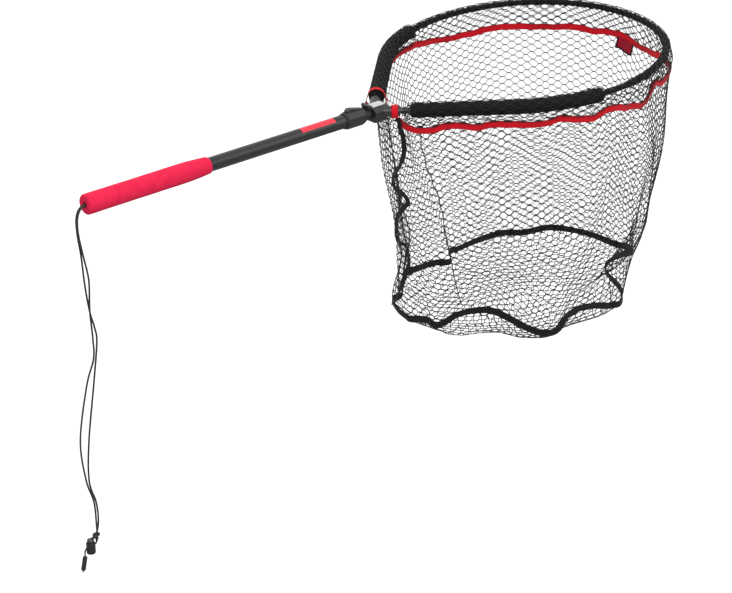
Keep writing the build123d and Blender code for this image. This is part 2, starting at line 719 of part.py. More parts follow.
def toggle_spring():
    """The cord lock's spring."""
    return coil(5.6, 0.45, TOGGLE_BOTTOM + 1.7, TOGGLE_BOTTOM + 9.9, 4, x=TOGGLE_X)


TAIL_POINTS = [
    (KNOT_X - 1.0, 0, KNOT_Z - 7.4),
    (KNOT_X - 2.0, 0, KNOT_Z - 10.5),
    (TOGGLE_X + 7.5, 0, CORD_HOLE_Z),
    (TOGGLE_X, 0, CORD_HOLE_Z),
    (TOGGLE_X - 7.5, 0, CORD_HOLE_Z),
    (TOGGLE_X - 13.0, 0, CORD_HOLE_Z - 6.0),
    (TOGGLE_X - 13.5, 0, CORD_HOLE_Z - 16.0),
    (TOGGLE_X - 21.0, 0, CORD_HOLE_Z - 47.0),
]


def toggle_cord():
    """The single tail cord from the knot through the cord lock to the end sleeve."""
    return cord(TAIL_POINTS, 1.4)


def end_sleeve():
    """The rubber sleeve round the tail cord."""
    edge = Line((TOGGLE_X - 13.7, 0, CORD_HOLE_Z - 17.5), (TOGGLE_X - 19.5, 0, CORD_HOLE_Z - 42.5))
    return pipe([edge], 4.3) - cord(TAIL_POINTS, 1.45)


NODES = {
    "handle_tube": handle_tube,
    "grip": grip,
    "butt_plug": butt_plug,
    "cord_anchor_pin": cord_anchor_pin,
    "cord_loop": cord_loop,
    "handle_label": handle_label,
    "collet_bush": collet_bush,
    "collar_seal": collar_seal,
    "lock_collar": lock_collar,
    "inner_tube": inner_tube,
    "inner_guide": inner_guide,
    "guide_pin": guide_pin,
    "hinge_fitting": hinge_fitting,
    "fitting_pin": fitting_pin,
    "hinge_pin": hinge_pin,
    "hinge_pin_caps": hinge_pin_caps,
    "head_base": head_base,
    "head_cover": head_cover,
    "cover_screws": cover_screws,
    "name_plate": name_plate,
    "latch_button": latch_button,
    "latch_spring": latch_spring,
    "arm_screws": arm_screws,
    "hoop_tube": hoop_tube,
    "float_left": lambda: float_tube(1),
    "float_right": lambda: float_tube(-1),
    "rim_sleeve": rim_sleeve,
    "arm_bands": arm_bands,
    "webbing_loop_left": lambda: webbing_loop(1, FLOAT_R + 0.1, LEFT_LOOP_START),
    "webbing_loop_right": lambda: webbing_loop(-1, HORN_R + 0.1, RIGHT_LOOP_START),
    "net_bag": net_bag,
    "mouth_tape": mouth_tape,
    "bottom_tape": bottom_tape,
    "side_tape": side_tape,
    "net_tag": net_tag,
    "lanyard_cord": lanyard_cord,
    "stopper_knot": stopper_knot,
    "toggle_body": toggle_body,
    "toggle_plunger": toggle_plunger,
    "toggle_spring": toggle_spring,
    "toggle_cord": toggle_cord,
    "end_sleeve": end_sleeve,
}

for node, make in NODES.items():
    save(node, make())
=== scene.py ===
"""Looks for the landing net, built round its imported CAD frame. Lengths here are in millimetres."""
import json
import math

import bpy
import numpy as np
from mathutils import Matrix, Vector

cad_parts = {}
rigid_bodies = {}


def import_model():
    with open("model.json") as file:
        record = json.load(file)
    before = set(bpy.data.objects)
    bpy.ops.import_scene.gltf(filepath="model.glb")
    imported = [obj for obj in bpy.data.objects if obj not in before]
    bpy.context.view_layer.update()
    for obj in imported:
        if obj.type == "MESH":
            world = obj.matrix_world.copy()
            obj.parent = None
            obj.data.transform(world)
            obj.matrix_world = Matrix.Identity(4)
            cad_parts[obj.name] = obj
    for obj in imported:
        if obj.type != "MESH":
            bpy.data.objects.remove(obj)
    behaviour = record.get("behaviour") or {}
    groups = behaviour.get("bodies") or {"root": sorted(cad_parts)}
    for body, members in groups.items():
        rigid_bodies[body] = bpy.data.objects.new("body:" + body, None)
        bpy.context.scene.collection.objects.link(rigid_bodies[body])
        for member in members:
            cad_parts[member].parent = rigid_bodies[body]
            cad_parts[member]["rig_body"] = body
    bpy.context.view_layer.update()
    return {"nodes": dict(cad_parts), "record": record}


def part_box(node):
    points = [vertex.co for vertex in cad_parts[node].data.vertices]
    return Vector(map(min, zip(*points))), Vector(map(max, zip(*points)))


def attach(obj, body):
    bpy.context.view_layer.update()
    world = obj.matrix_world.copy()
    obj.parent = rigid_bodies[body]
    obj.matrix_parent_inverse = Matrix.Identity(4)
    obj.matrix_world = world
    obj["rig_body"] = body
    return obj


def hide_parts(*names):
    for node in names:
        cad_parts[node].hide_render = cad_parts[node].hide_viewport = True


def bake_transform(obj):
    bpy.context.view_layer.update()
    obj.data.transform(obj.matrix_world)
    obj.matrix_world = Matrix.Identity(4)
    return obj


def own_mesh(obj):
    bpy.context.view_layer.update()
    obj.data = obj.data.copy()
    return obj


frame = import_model()
MM = 0.001
TAU = 2 * math.pi


def cad(node):
    """A CAD node's lowest and highest corners in millimetres."""
    low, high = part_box(node)
    return np.array(low) / MM, np.array(high) / MM


# ---- places and sizes
HINGE_X = sum(cad("hinge_pin"))[0] / 2
GRIP_LOW, GRIP_HIGH = cad("grip")
TUBE_R = (cad("handle_tube")[1][1] - cad("handle_tube")[0][1]) / 2
GRIP_R = (GRIP_HIGH[1] - GRIP_LOW[1]) / 2
HOOP_R = 5.0
SLEEVE_R = 6.2
FLOAT_R = 14.5

# The hoop's centre line: a nose arc, two shoulder arcs and two straight arms.
HOOP_TILT = math.radians(3.3)
HOOP_UP = np.array([-math.sin(HOOP_TILT), 0, math.cos(HOOP_TILT)])
TILT_X = HINGE_X + 37.0
HOOP_RISE = 2.0
NOSE_X = HINGE_X + 458.0
NOSE_R = 253.0
NOSE_ANGLE = math.radians(60.0)
ROOT_STEPS = 12
SHOULDER_R = 320.0
SHOULDER_X = NOSE_X + (NOSE_R - SHOULDER_R) * math.cos(NOSE_ANGLE)
SHOULDER_Y = (NOSE_R - SHOULDER_R) * math.sin(NOSE_ANGLE)
ARM_SLOPE = math.radians(42.6)
ARM_ANGLE = math.radians(90.0) + ARM_SLOPE
FLOAT_START_X = HINGE_X + 67.0
FLOAT_END_ANGLES = {1: math.radians(105.0), -1: math.radians(101.0)}
ROOT_X = HINGE_X + 56.0

# The bag: side wall from the mouth tape down to the floor seam, then a sagging floor.
RING_Z = -485.0
RING_LONG = 0.87
RING_CROSS = 0.77
RING_X = HINGE_X + 430.0
FLOOR_X = RING_X + 10.0
WALL_DEPTH = 420.0
COLUMNS = 132
ROWS = 29
UPPER_ROWS = 14
YARN_R = 0.78


# ---- mesh helpers
def add_piece(name, verts, faces, material, stands_for=(), body="head", uv=None):
    """Makes a mesh object from millimetre vertices, riding on a body, in place of some CAD nodes."""
    verts = np.asarray(verts, float).reshape(-1, 3) * MM
    mesh = bpy.data.meshes.new(name)
    count, corners = faces.shape
    mesh.vertices.add(len(verts))
    mesh.vertices.foreach_set("co", verts.ravel())
    mesh.loops.add(count * corners)
    mesh.loops.foreach_set("vertex_index", faces.astype(np.int32).ravel())
    mesh.polygons.add(count)
    mesh.polygons.foreach_set("loop_start", np.arange(0, count * corners, corners, dtype=np.int32))
    mesh.update(calc_edges=True)
    mesh.validate()
    if uv is not None:
        layer = mesh.uv_layers.new(name="UVMap")
        index = np.zeros(len(mesh.loops), np.int32)
        mesh.loops.foreach_get("vertex_index", index)
        layer.data.foreach_set("uv", np.asarray(uv, float).reshape(-1, 2)[index].ravel())
    mesh.polygons.foreach_set("use_smooth", [True] * len(mesh.polygons))
    obj = bpy.data.objects.new(name, mesh)
    bpy.context.scene.collection.objects.link(obj)
    obj.data.materials.append(material)
    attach(obj, body)
    if stands_for:
        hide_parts(*stands_for)
    return obj


def unit(v):
    """Vectors scaled to length one."""
    return v / np.maximum(np.linalg.norm(v, axis=-1, keepdims=True), 1e-9)


def shell_quads(rings, sides, closed=False):
    """Faces of a shell made of closed rings of points; closed also joins the last ring to the first."""
    i = np.arange(rings if closed else rings - 1)[:, None]
    k = np.arange(sides)[None]
    following = (i + 1) % rings
    beside = (k + 1) % sides
    corners = [i * sides + k, i * sides + beside, following * sides + beside, following * sides + k]
    return np.stack(corners, -1).reshape(-1, 4)


def lengths(path):
    """The distance along a path at each of its points."""
    return np.concatenate([[0], np.cumsum(np.linalg.norm(np.diff(path, axis=0), axis=1))])


def evenly(path, count, endpoint=True):
    """A path's points, spaced evenly."""
    length = lengths(path)
    want = np.linspace(0, length[-1], count, endpoint=endpoint)
    return np.stack([np.interp(want, length, path[:, k]) for k in range(3)], 1)


def tubes(paths, normals, radius, sides, closed=False):
    """Round tubes along many paths of equal length, as (vertices, quads). normals steady the sections."""
    k, m, _ = paths.shape
    if closed:
        tangent = np.roll(paths, -1, 1) - np.roll(paths, 1, 1)
    else:
        tangent = np.gradient(paths, axis=1)
    tangent = unit(tangent)
    side = unit(np.cross(tangent, normals))
    up = np.cross(side, tangent)
    angle = np.arange(sides) * TAU / sides
    ring = np.cos(angle)[:, None] * up[:, :, None, :] + np.sin(angle)[:, None] * side[:, :, None, :]
    verts = (paths[:, :, None, :] + radius * ring).reshape(-1, 3)
    quads = shell_quads(m, sides, closed)
    quads = quads[None] + (np.arange(k) * m * sides)[:, None, None]
    return verts, quads.reshape(-1, 4)


def join(parts):
    """Several (vertices, quads) as one."""
    verts, faces, base = [], [], 0
    for v, f in parts:
        verts.append(v)
        faces.append(f + base)
        base += len(v)
    return np.concatenate(verts), np.concatenate(faces)


def smooth_path(points, count):
    """A smooth open path through a few points, evenly spaced."""
    p = np.asarray(points, float)
    p = np.concatenate([[2 * p[0] - p[1]], p, [2 * p[-1] - p[-2]]])
    out = []
    for i in range(1, len(p) - 2):
        for t in np.linspace(0, 1, 24, endpoint=False):
            a, b, c, d = p[i - 1], p[i], p[i + 1], p[i + 2]
            out.append(0.5 * (2 * b + (c - a) * t + (2 * a - 5 * b + 4 * c - d) * t ** 2
                              + (3 * b - a - 3 * c + d) * t ** 3))
    out.append(p[-2])
    return evenly(np.array(out), count)


def smooth_loop(points, count):
    """A smooth closed path through a few points, the last the same as the first."""
    p = np.asarray(points, float)
    p = np.concatenate([p[-3:-1], p, p[1:3]])
    path = smooth_path(p, count * 8)
    start = np.argmin(np.linalg.norm(path - p[2], axis=1)[:count * 4])
    stop = len(path) - 1 - np.argmin(np.linalg.norm(path - p[2], axis=1)[::-1][:count * 4])
    return evenly(path[start:stop + 1], count, endpoint=False)


def path_frames(path):
    """Steady normals for one path, turned as little as possible along it."""
    tangent = unit(np.gradient(path, axis=0))
    normal = np.zeros_like(path)
    first = np.cross(tangent[0], (0.3, 1.0, 0.2))
    normal[0] = first / np.linalg.norm(first)
    for i in range(1, len(path)):
        n = normal[i - 1] - tangent[i] * np.dot(normal[i - 1], tangent[i])
        normal[i] = n / np.linalg.norm(n)
    return normal


def path_tube(path, radius, sides):
    """One round cord along a path, as (vertices, quads)."""
    return tubes(path[None], path_frames(path)[None], radius, sides)


def cord_tube(points, radius, sides, count):
    """One round cord through a few points."""
    return path_tube(smooth_path(points, count), radius, sides)


# ---- the hoop's outline
def arc_point(x, y, radius, angle):
    """A point of a level arc."""
    return np.array([x + radius * math.cos(angle), y + radius * math.sin(angle)])


def rim_table():
    """Closely spaced points of the mouth's outline on the +Y side, from the root to the nose."""
    arm_end = arc_point(SHOULDER_X, SHOULDER_Y, SHOULDER_R, ARM_ANGLE)
    start = arm_end + (ROOT_X - arm_end[0]) * np.array([1.0, math.tan(ARM_SLOPE)])
    points = [(ROOT_X, start[1] * s) for s in np.linspace(0, 1, ROOT_STEPS, endpoint=False)]
    points += [tuple(start + (arm_end - start) * s) for s in np.linspace(0, 1, 60, endpoint=False)]
    shoulder = np.linspace(ARM_ANGLE, NOSE_ANGLE, 120, endpoint=False)
    points += [tuple(arc_point(SHOULDER_X, SHOULDER_Y, SHOULDER_R, a)) for a in shoulder]
    points += [tuple(arc_point(NOSE_X, 0.0, NOSE_R, a)) for a in np.linspace(NOSE_ANGLE, 0, 80)]
    points = np.array(points)
    return points, lengths(points)


RIM, RIM_LENGTH = rim_table()
RIM_ROUND = 2 * RIM_LENGTH[-1]
ROOT_SHARE = RIM[ROOT_STEPS, 1] / RIM_ROUND


def rim_xy(t):
    """The mouth's outline, t from 0 at the root round +Y to 0.5 at the nose and back to 1."""
    t = np.mod(t, 1.0)
    side = np.where(t <= 0.5, 1.0, -1.0)
    s = np.where(t <= 0.5, t, 1 - t) * RIM_ROUND
    return np.stack([np.interp(s, RIM_LENGTH, RIM[:, 0]), side * np.interp(s, RIM_LENGTH, RIM[:, 1])], -1)


def outward_xy(t):
    """The outline's level outward normal."""
    d = rim_xy(t + 0.004) - rim_xy(t - 0.004)
    return unit(np.stack([-d[..., 1], d[..., 0]], -1))


def rim_share(x):
    """The t value where the +Y arm or shoulder passes X."""
    return np.interp(x, RIM[:, 0], RIM_LENGTH) / RIM_ROUND


T_FLOAT_START = rim_share(FLOAT_START_X)
T_FLOAT_ENDS = {
    side: rim_share(SHOULDER_X + SHOULDER_R * math.cos(angle)) for side, angle in FLOAT_END_ANGLES.items()
}


def to_hoop(xy, height=0.0):
    """Points of the level outline moved to the leaning hoop's plane."""
    dx = xy[..., 0] - TILT_X
    x = TILT_X + dx * math.cos(HOOP_TILT) - height * math.sin(HOOP_TILT)
    z = HOOP_RISE + dx * math.sin(HOOP_TILT) + height * math.cos(HOOP_TILT)
    return np.stack([x, xy[..., 1] + 0 * x, z], -1)


def hoop_point(t):
    """The hoop tube's centre line."""
    return to_hoop(rim_xy(t))


def out3(t):
    """The outward normal as a level 3-D vector."""
    o = outward_xy(t)
    return np.concatenate([o, np.zeros(o.shape[:-1] + (1,))], -1)


# ---- the bag's surface
def waves(t, phases):
    """A sum of gentle waves round the bag. phases is a list of (count, height, phase)."""
    total = 0 * t
    for count, height, phase in phases:
        total = total + height * np.sin(TAU * count * t + phase)
    return total


def eased(keys, t):
    """A smooth closed curve through (share round the outline, value) keys that start at 0 and end at 1."""
    x, y = np.array(keys, float).T
    slope = np.gradient(y, x)
    slope[0] = slope[-1] = (slope[0] + slope[-1]) / 2
    t = np.mod(t, 1.0)
    i = np.clip(np.searchsorted(x, t, side="right") - 1, 0, len(x) - 2)
    span = x[i + 1] - x[i]
    s = (t - x[i]) / span
    a = y[i] * (1 + 2 * s) * (1 - s) ** 2 + y[i + 1] * s * s * (3 - 2 * s)
    return a + span * s * (1 - s) * (slope[i] * (1 - s) - slope[i + 1] * s)


def rise(x, low, high):
    """A smooth step from 0 at low to 1 at high."""
    s = np.clip((x - low) / (high - low), 0, 1)
    return s * s * (3 - 2 * s)


# How far the mouth tape hangs below the hoop's line, with the kink where it doubles back beside the nose.
TAPE_DROPS = [
    (0.0, 20), (0.03, 24), (0.10, 30), (0.18, 28), (0.242, 39), (0.274, 49), (0.31, 53), (0.342, 49),
    (0.378, 52), (0.408, 54), (0.43, 51), (0.462, 53), (0.496, 48), (0.532, 57), (0.576, 49),
    (0.622, 42), (0.658, 43), (0.679, 37), (0.689, 56), (0.70, 60), (0.727, 49), (0.764, 37),
    (0.777, 45), (0.79, 43), (0.808, 35), (0.846, 38), (0.878, 33), (0.904, 38), (0.934, 34),
    (0.95, 42), (0.966, 40), (0.976, 31), (0.99, 22), (1.0, 20),
]
# How far it stands outside that line.
TAPE_REACH = [
    (0.0, -1), (0.2, -2), (0.3, -1), (0.4, -3), (0.5, -1), (0.58, 2), (0.602, 8), (0.622, 11), (0.642, 8),
    (0.67, 0), (0.70, -3), (0.77, -1), (0.79, -3), (0.85, 0), (0.93, -2), (1.0, -1),
]


def tape_point(t):
    """The mouth tape's centre line."""
    reach = eased(TAPE_REACH, t) + waves(t, [(23, 0.7, 0.7), (31, 0.5, 2.0)])
    p = hoop_point(t) + out3(t) * reach[..., None]
    p[..., 2] -= eased(TAPE_DROPS, t) + waves(t, [(29, 0.6, 0.2), (41, 0.5, 1.9)])
    return p


# The floor seam against an even ring: how far it is pushed out, and how far it is lifted.
SEAM_PUSH = [
    (0.0, -1), (0.02, 3), (0.035, 27), (0.052, 44), (0.078, 31), (0.105, 34), (0.135, 33), (0.16, 16),
    (0.196, 0), (0.218, -18), (0.23, -2), (0.25, 0), (0.30, 2), (0.33, 4), (0.36, -1), (0.395, 6),
    (0.43, 0), (0.50, 0), (0.546, 6), (0.565, -27), (0.585, -55), (0.61, -72), (0.64, -58),
    (0.665, -32), (0.69, -3), (0.702, 5), (0.72, 2), (0.755, -8), (0.79, -5), (0.808, 8), (0.828, 14),
    (0.85, 7), (0.875, -5), (0.90, -16), (0.925, -17), (0.95, -9), (0.97, 0), (0.985, -5), (1.0, -1),
]
SEAM_LIFT = [
    (0.0, 6), (0.02, -3), (0.035, 2), (0.052, 12), (0.078, 6), (0.105, 12), (0.135, 15), (0.16, 9),
    (0.196, -1), (0.218, -5), (0.23, 2), (0.25, 0), (0.30, 3), (0.33, 4), (0.36, 1), (0.395, 7),
    (0.46, 6), (0.50, 1), (0.546, 6), (0.565, 15), (0.585, 18), (0.61, 9), (0.64, 4), (0.69, 2),
    (0.702, -5), (0.72, -2), (0.755, 11), (0.785, 9), (0.799, 2), (0.809, -12), (0.832, -14),
    (0.853, -2), (0.875, 14), (0.898, 26), (0.92, 26), (0.944, 20), (0.97, 4), (0.985, 9), (1.0, 6),
]


def even_seam(t):
    """The floor seam as an even ring."""
    xy = rim_xy(t)
    middle = (ROOT_X + RIM[-1, 0]) / 2
    x = RING_X + (xy[..., 0] - middle) * RING_LONG
    return np.stack([x, xy[..., 1] * RING_CROSS, 0 * x + RING_Z], -1)


def seam_point(t):
    """The floor seam's line round the bottom of the side wall."""
    p = even_seam(t) + out3(t) * eased(SEAM_PUSH, t)[..., None]
    p[..., 2] += eased(SEAM_LIFT, t)
    return p


def wall_point(t, d):
    """The side wall, d from 0 at the mouth tape to 1 at the floor seam."""
    top = tape_point(t)
    p = top + (even_seam(t) - top) * d[..., None]
    belly = np.sin(math.pi * np.clip(d, 0, 1)) ** 0.8
    fold = belly * waves(t + 0.02 * np.sin(5 * d), [(9, 4.5, 0.5), (14, 3.0, 1.7), (23, 1.6, 0.9)])
    fold = fold + belly * 4 * np.sin(TAU * (3 * t + 1.3 * d)) + 6 * belly
    fold = fold + eased(SEAM_PUSH, t) * rise(d, 0.72, 1.02) / rise(1.0, 0.72, 1.02)
    p = p + out3(t) * fold[..., None]
    p[..., 2] += eased(SEAM_LIFT, t) * rise(d, 0.45, 1.0)
    return p


def surface_normals(surface, t, d):
    """Outward normals of a surface(t, d)."""
    step = 1e-3
    a = surface(t + step, d) - surface(t - step, d)
    b = surface(t, d + step) - surface(t, d - step)
    n = unit(np.cross(a, b))
    flip = np.sign(np.sum(n * out3(t), -1, keepdims=True))
    return n * np.where(flip == 0, 1, flip)


# ---- knotless six-sided mesh
BAR_HALF = 0.25  # half a bar's length, in columns
WRAP_R = FLOAT_R + 0.75  # where the netting lies round a float
WRAP_ROWS = 9


def yarn_grid(column_start, column_count, row_start, row_count, closed):
    """Yarn paths over a (column, row) grid: two zigzag families that lie together along each bar.

    Gives (u, v) arrays with one line per yarn, four points per column."""
    lines_u, lines_v = [], []
    columns = np.arange(column_start, column_start + column_count + (0 if closed else 1))
    odd = columns % 2
    for family in (1, -1):
        bar = family * (0.5 * odd + 0.035 * np.where(odd == 1, -1, 1))
        following = np.roll(bar, -1) if closed else np.append(bar[1:], bar[-1])
        for row in range(row_start, row_start + row_count + 1):
            u = np.stack([columns - BAR_HALF, columns + BAR_HALF, columns + 0.42, columns + 0.58], -1)
            climb = following - bar
            v = np.stack([bar, bar, bar + climb * 0.34, bar + climb * 0.66], -1) + row
            lines_u.append(u.ravel())
            lines_v.append(v.ravel())
    u = np.array(lines_u)
    v = np.array(lines_v)
    if not closed:
        u, v = u[:, :-2], v[:, :-2]
    return u, v


def net_wall(name, row_start, row_count, material):
    """Rows of the side wall's mesh, right round the bag."""
    u, v = yarn_grid(0, COLUMNS, row_start, row_count, True)
    t = (u + 0.10 * np.sin(0.9 * v + 0.31 * u) + 0.06 * np.sin(2.3 * v - 0.7 * u)) / COLUMNS
    d = (v + 0.10 * np.sin(0.8 * u + 0.6 * v) + 0.07 * np.sin(0.37 * u)) / ROWS
    d = np.clip(d, 0.0, 1.0)
    paths = wall_point(t, d)
    normals = surface_normals(wall_point, t, np.clip(d, 0.002, 0.998))
    verts, quads = tubes(paths, normals, YARN_R, 5, closed=True)
    return add_piece(name, verts, quads, material)


def across_hoop(t, points):
    """Points as distances outward and up from the hoop's line."""
    offsets = points - hoop_point(t)
    return np.sum(offsets * out3(t), -1), np.sum(offsets * HOOP_UP, -1)


def on_float(t):
    """1 where the hoop carries a float, 0 elsewhere, with short slopes at its ends."""
    t = np.mod(t, 1)
    s = np.minimum(t, 1 - t)
    end = np.where(t < 0.5, T_FLOAT_ENDS[1], T_FLOAT_ENDS[-1])
    return np.clip((s - T_FLOAT_START) / 0.004 + 1, 0, 1) * np.clip((end - s) / 0.004 + 1, 0, 1)


def covered(t):
    """0 on the short stretch of nearly bare tube just beyond the right float, 1 further round."""
    gap = (1 - T_FLOAT_ENDS[-1] - np.mod(t, 1)) * RIM_ROUND
    return rise(gap, 30, 110)


def wrap_path(t):
    """The round that the netting lies on: close on the floats, loose outside the bare hoop.

    Gives its centre as (outward, up) offsets from the hoop's line, its radius, and the tape's place."""
    inside = on_float(t)
    loose = (1 - inside) * covered(t) * (1 + waves(t, [(37, 0.25, 0.3), (53, 0.25, 1.3)]))
    shift_out = 0.9 * loose
    shift_up = 0.7 * loose
    on_hoop = 6.5 + 1.4 * covered(t)
    radius = WRAP_R - (WRAP_R - on_hoop) * (1 - inside)
    ax, ay = across_hoop(t, tape_point(t))
    ax = ax - shift_out
    ay = ay - shift_up
    reach = np.hypot(ax, ay)
    return shift_out, shift_up, np.minimum(radius, reach - 2), ax, ay, reach


def wrap_point(t, q):
    """The sleeve of netting sewn round the hoop: from the tape up outside, over and down inside."""
    shift_out, shift_up, r, ax, ay, reach = wrap_path(t)
    facing = np.arctan2(ay, ax)
    open_angle = np.arccos(np.clip(r / reach, -1, 1))
    straight = np.sqrt(np.maximum(reach ** 2 - r ** 2, 0))
    sweep = TAU - 2 * open_angle
    total = 2 * straight + r * sweep
    s = np.clip(q, 0, 1) * total
    turn = np.clip((s - straight) / (r * sweep), 0, 1)
    angle = facing + open_angle + turn * sweep
    cx, cy = r * np.cos(angle), r * np.sin(angle)
    first = np.clip(s / straight, 0, 1)
    last = np.clip((s - straight - r * sweep) / straight, 0, 1)
    px = np.where(s < straight, ax + (cx - ax) * first, cx + (ax - cx) * last)
    py = np.where(s < straight, ay + (cy - ay) * first, cy + (ay - cy) * last)
    slack = rise(np.minimum(s, total - s), 6, 18) * (np.minimum(s, total - s) < straight)
    sag = 2.0 + waves(t, [(21, 1.5, 0.3), (34, 1.2, 2)])
    hang = np.sin(math.pi * np.where(s < straight, first, last)) * slack * sag
    px = px + np.where(s < straight, hang, -hang * 0.5)
    return hoop_point(t) + out3(t) * (px + shift_out)[..., None] + HOOP_UP * (py + shift_up)[..., None]


def net_wrap(name, t_start, t_end, material):
    """The netting that goes round the hoop and floats between two places."""
    first = int(math.ceil(t_start * COLUMNS))
    last = int(math.floor(t_end * COLUMNS))
    u, v = yarn_grid(first, last - first, 0, WRAP_ROWS, False)
    t = (u + 0.08 * np.sin(1.1 * v + 0.4 * u)) / COLUMNS
    q = np.clip(v / WRAP_ROWS, 0, 1)
    paths = wrap_point(t, q)
    verts, quads = tubes(paths, unit(paths - hoop_point(t)), YARN_R, 5)
    add_piece(name, verts, quads, material)


def floor_height(x, y):
    """The sagging floor's height, and how far out a point is: 1 at the seam."""
    centre = np.array([FLOOR_X, 0.0])
    t = np.linspace(0, 1, 721)[:-1]
    seam = seam_point(t)
    angle = np.arctan2(seam[:, 1] - centre[1], seam[:, 0] - centre[0])
    order = np.argsort(angle)
    angle, seam = angle[order], seam[order]
    reach = np.hypot(seam[:, 0] - centre[0], seam[:, 1] - centre[1])
    a = np.arctan2(y - centre[1], x - centre[0])
    full = np.interp(a, angle, reach, period=TAU)
    edge = np.interp(a, angle, seam[:, 2], period=TAU)
    share = np.hypot(x - centre[0], y - centre[1]) / full
    level = RING_Z + (edge - RING_Z) * np.clip(share, 0, 1) ** 10
    inner = np.clip(1 - share, 0, 1)
    wrinkle = 3.0 * np.sin(x * 0.045 + 0.8 * np.sin(y * 0.03)) * np.sin(y * 0.05 + 1) * inner ** 0.3
    sag = 30.0 + 20.0 * (1 + np.cos(a + 2.1))
    return level - sag * (1 - np.clip(share, 0, 1) ** 5) + wrinkle, share


def net_floor(material):
    """The floor's mesh, cut off at the seam."""
    pitch_x, pitch_y = 14.0, 15.0
    half_x, half_y = 300.0, 220.0
    columns = int(2 * half_x / pitch_x)
    rows = int(2 * half_y / pitch_y)
    u, v = yarn_grid(0, columns, 0, rows, False)
    x = FLOOR_X - half_x + u * pitch_x + 1.5 * np.sin(0.5 * v + 0.2 * u)
    y = -half_y + v * pitch_y + 1.5 * np.sin(0.4 * u)
    z, share = floor_height(x, y)
    paths = np.stack([x, y, z], -1)
    parts = []
    for line, inside in zip(paths, share < 1.0):
        edges = np.flatnonzero(np.diff(np.concatenate([[0], inside.astype(int), [0]])))
        for a, b in zip(edges[::2], edges[1::2]):
            if b - a >= 4:
                piece = line[None, a:b]
                up = np.broadcast_to(np.array([0.0, 0.0, 1.0]), piece.shape)
                parts.append(tubes(piece, up, YARN_R, 5))
    verts, quads = join(parts)
    return add_piece("net_floor", verts, quads, material)


# ---- tapes
def ribbon(centres, widths, normals, thickness, closed=False):
    """A flat woven strip: a rounded-edge section swept along a line. widths point across the strip."""
    half = np.linalg.norm(widths, axis=-1, keepdims=True)
    across = unit(widths)
    section = [
        (-1, 0.25), (-0.93, 0.5), (-0.80, 0.4125), (-0.4, 0.36), (0.4, 0.36), (0.80, 0.4125),
        (0.93, 0.5), (1, 0.25),
    ]
    loop = section + [(s, -h) for s, h in reversed(section)]
    rings = np.stack([centres + across * half * s + normals * thickness * h for s, h in loop], 1)
    count, sides = rings.shape[:2]
    across_share = np.tile([s * 0.5 + 0.5 for s, _ in loop], (count, 1))
    uv = np.stack([np.repeat(lengths(centres)[:, None], sides, 1), across_share], -1)
    return rings.reshape(-1, 3), shell_quads(count, sides, closed), uv.reshape(-1, 2)


def stitches(name, centres, widths, normals, lift, pitch, material):
    """Two rows of short thread stitches that stand near a red tape's edges."""
    length = lengths(centres)
    count = int(length[-1] / pitch)
    paths, ups = [], []
    for place in (-0.8, 0.8):
        line = centres + widths * place + normals * lift
        for i in range(count):
            span = np.linspace(i * pitch + 0.15 * pitch, i * pitch + 0.80 * pitch, 4)
            p = np.stack([np.interp(span, length, line[:, k]) for k in range(3)], 1)
            n = np.stack([np.interp(span, length, normals[:, k]) for k in range(3)], 1)
            bow = np.array([-0.35, 0.1, 0.1, -0.35])[:, None]
            paths.append(p + n * bow)
            ups.append(n)
    verts, quads = tubes(np.array(paths), np.array(ups), 0.28, 4)
    add_piece(name, verts, quads, material)


def mouth_line(t):
    """Centre line, half-width vectors and normals of the mouth tape on its outer side."""
    p = tape_point(t)
    out = out3(t)
    lean = waves(t, [(8, 0.10, 0.2), (15, 0.12, 1.1)])[..., None]
    along = unit(np.gradient(p, axis=0))
    down = unit(np.cross(along, out))
    down = down * np.sign(-down[..., 2:3])
    down = unit(down + out * lean)
    normal = unit(np.cross(down, along))
    normal = normal * np.sign(np.sum(normal * out, -1, keepdims=True))
    return p, down, normal


def build_mouth_tape(red, thread):
    """Red webbing round the bag's mouth, from one arm's loop round to the other."""
    t = np.linspace(ROOT_SHARE * 1.15, 1 - ROOT_SHARE * 0.65, 1100)
    centre, down, normal = mouth_line(t)
    half = down * 6.6
    verts, quads, uv = ribbon(centre, half, normal, 2.9)
    add_piece("mouth_webbing", verts, quads, red, uv=uv, stands_for=["mouth_tape"])
    stitches("mouth_stitching", centre, half, normal, 1.42, 3.4, thread)
    stitches("mouth_stitching_inside", centre, half, -normal, 1.42, 3.4, thread)


def build_bottom_tape(black):
    """Black tape over the floor seam, turned and creased where the seam kinks."""
    t = np.linspace(0, 1, 1301)[:-1]
    p = seam_point(t)
    along = unit(np.roll(p, -1, 0) - np.roll(p, 1, 0))
    across = unit(np.cross(out3(t), along))
    lean = waves(t, [(5, 0.1, 0.4), (11, 0.1, 2.1)])[..., None]
    across = unit(across + np.cross(along, across) * lean)
    normal = unit(np.cross(across, along))
    verts, quads, uv = ribbon(p, across * 7.0, normal, 3.0, closed=True)
    return add_piece(
        "floor_seam_tape", verts, quads, black, uv=uv,
        stands_for=["bottom_tape"],
    )


# Where the side tape wanders on the wall, as share round the outline and depth, from the right arm's band.
SIDE_WANDER = [
    (0.9885, -0.25), (0.984, 0.0), (0.980, 0.05), (0.9805, 0.13), (0.9865, 0.21), (0.999, 0.275),
    (1.0035, 0.318), (0.997, 0.337), (0.9845, 0.330), (0.981, 0.365), (0.991, 0.42), (1.009, 0.49),
    (1.018, 0.57), (1.013, 0.60), (0.9985, 0.605), (0.996, 0.64), (1.0, 0.71), (1.009, 0.765),
    (1.022, 0.86), (1.036, 0.95), (1.046, 0.995),
]


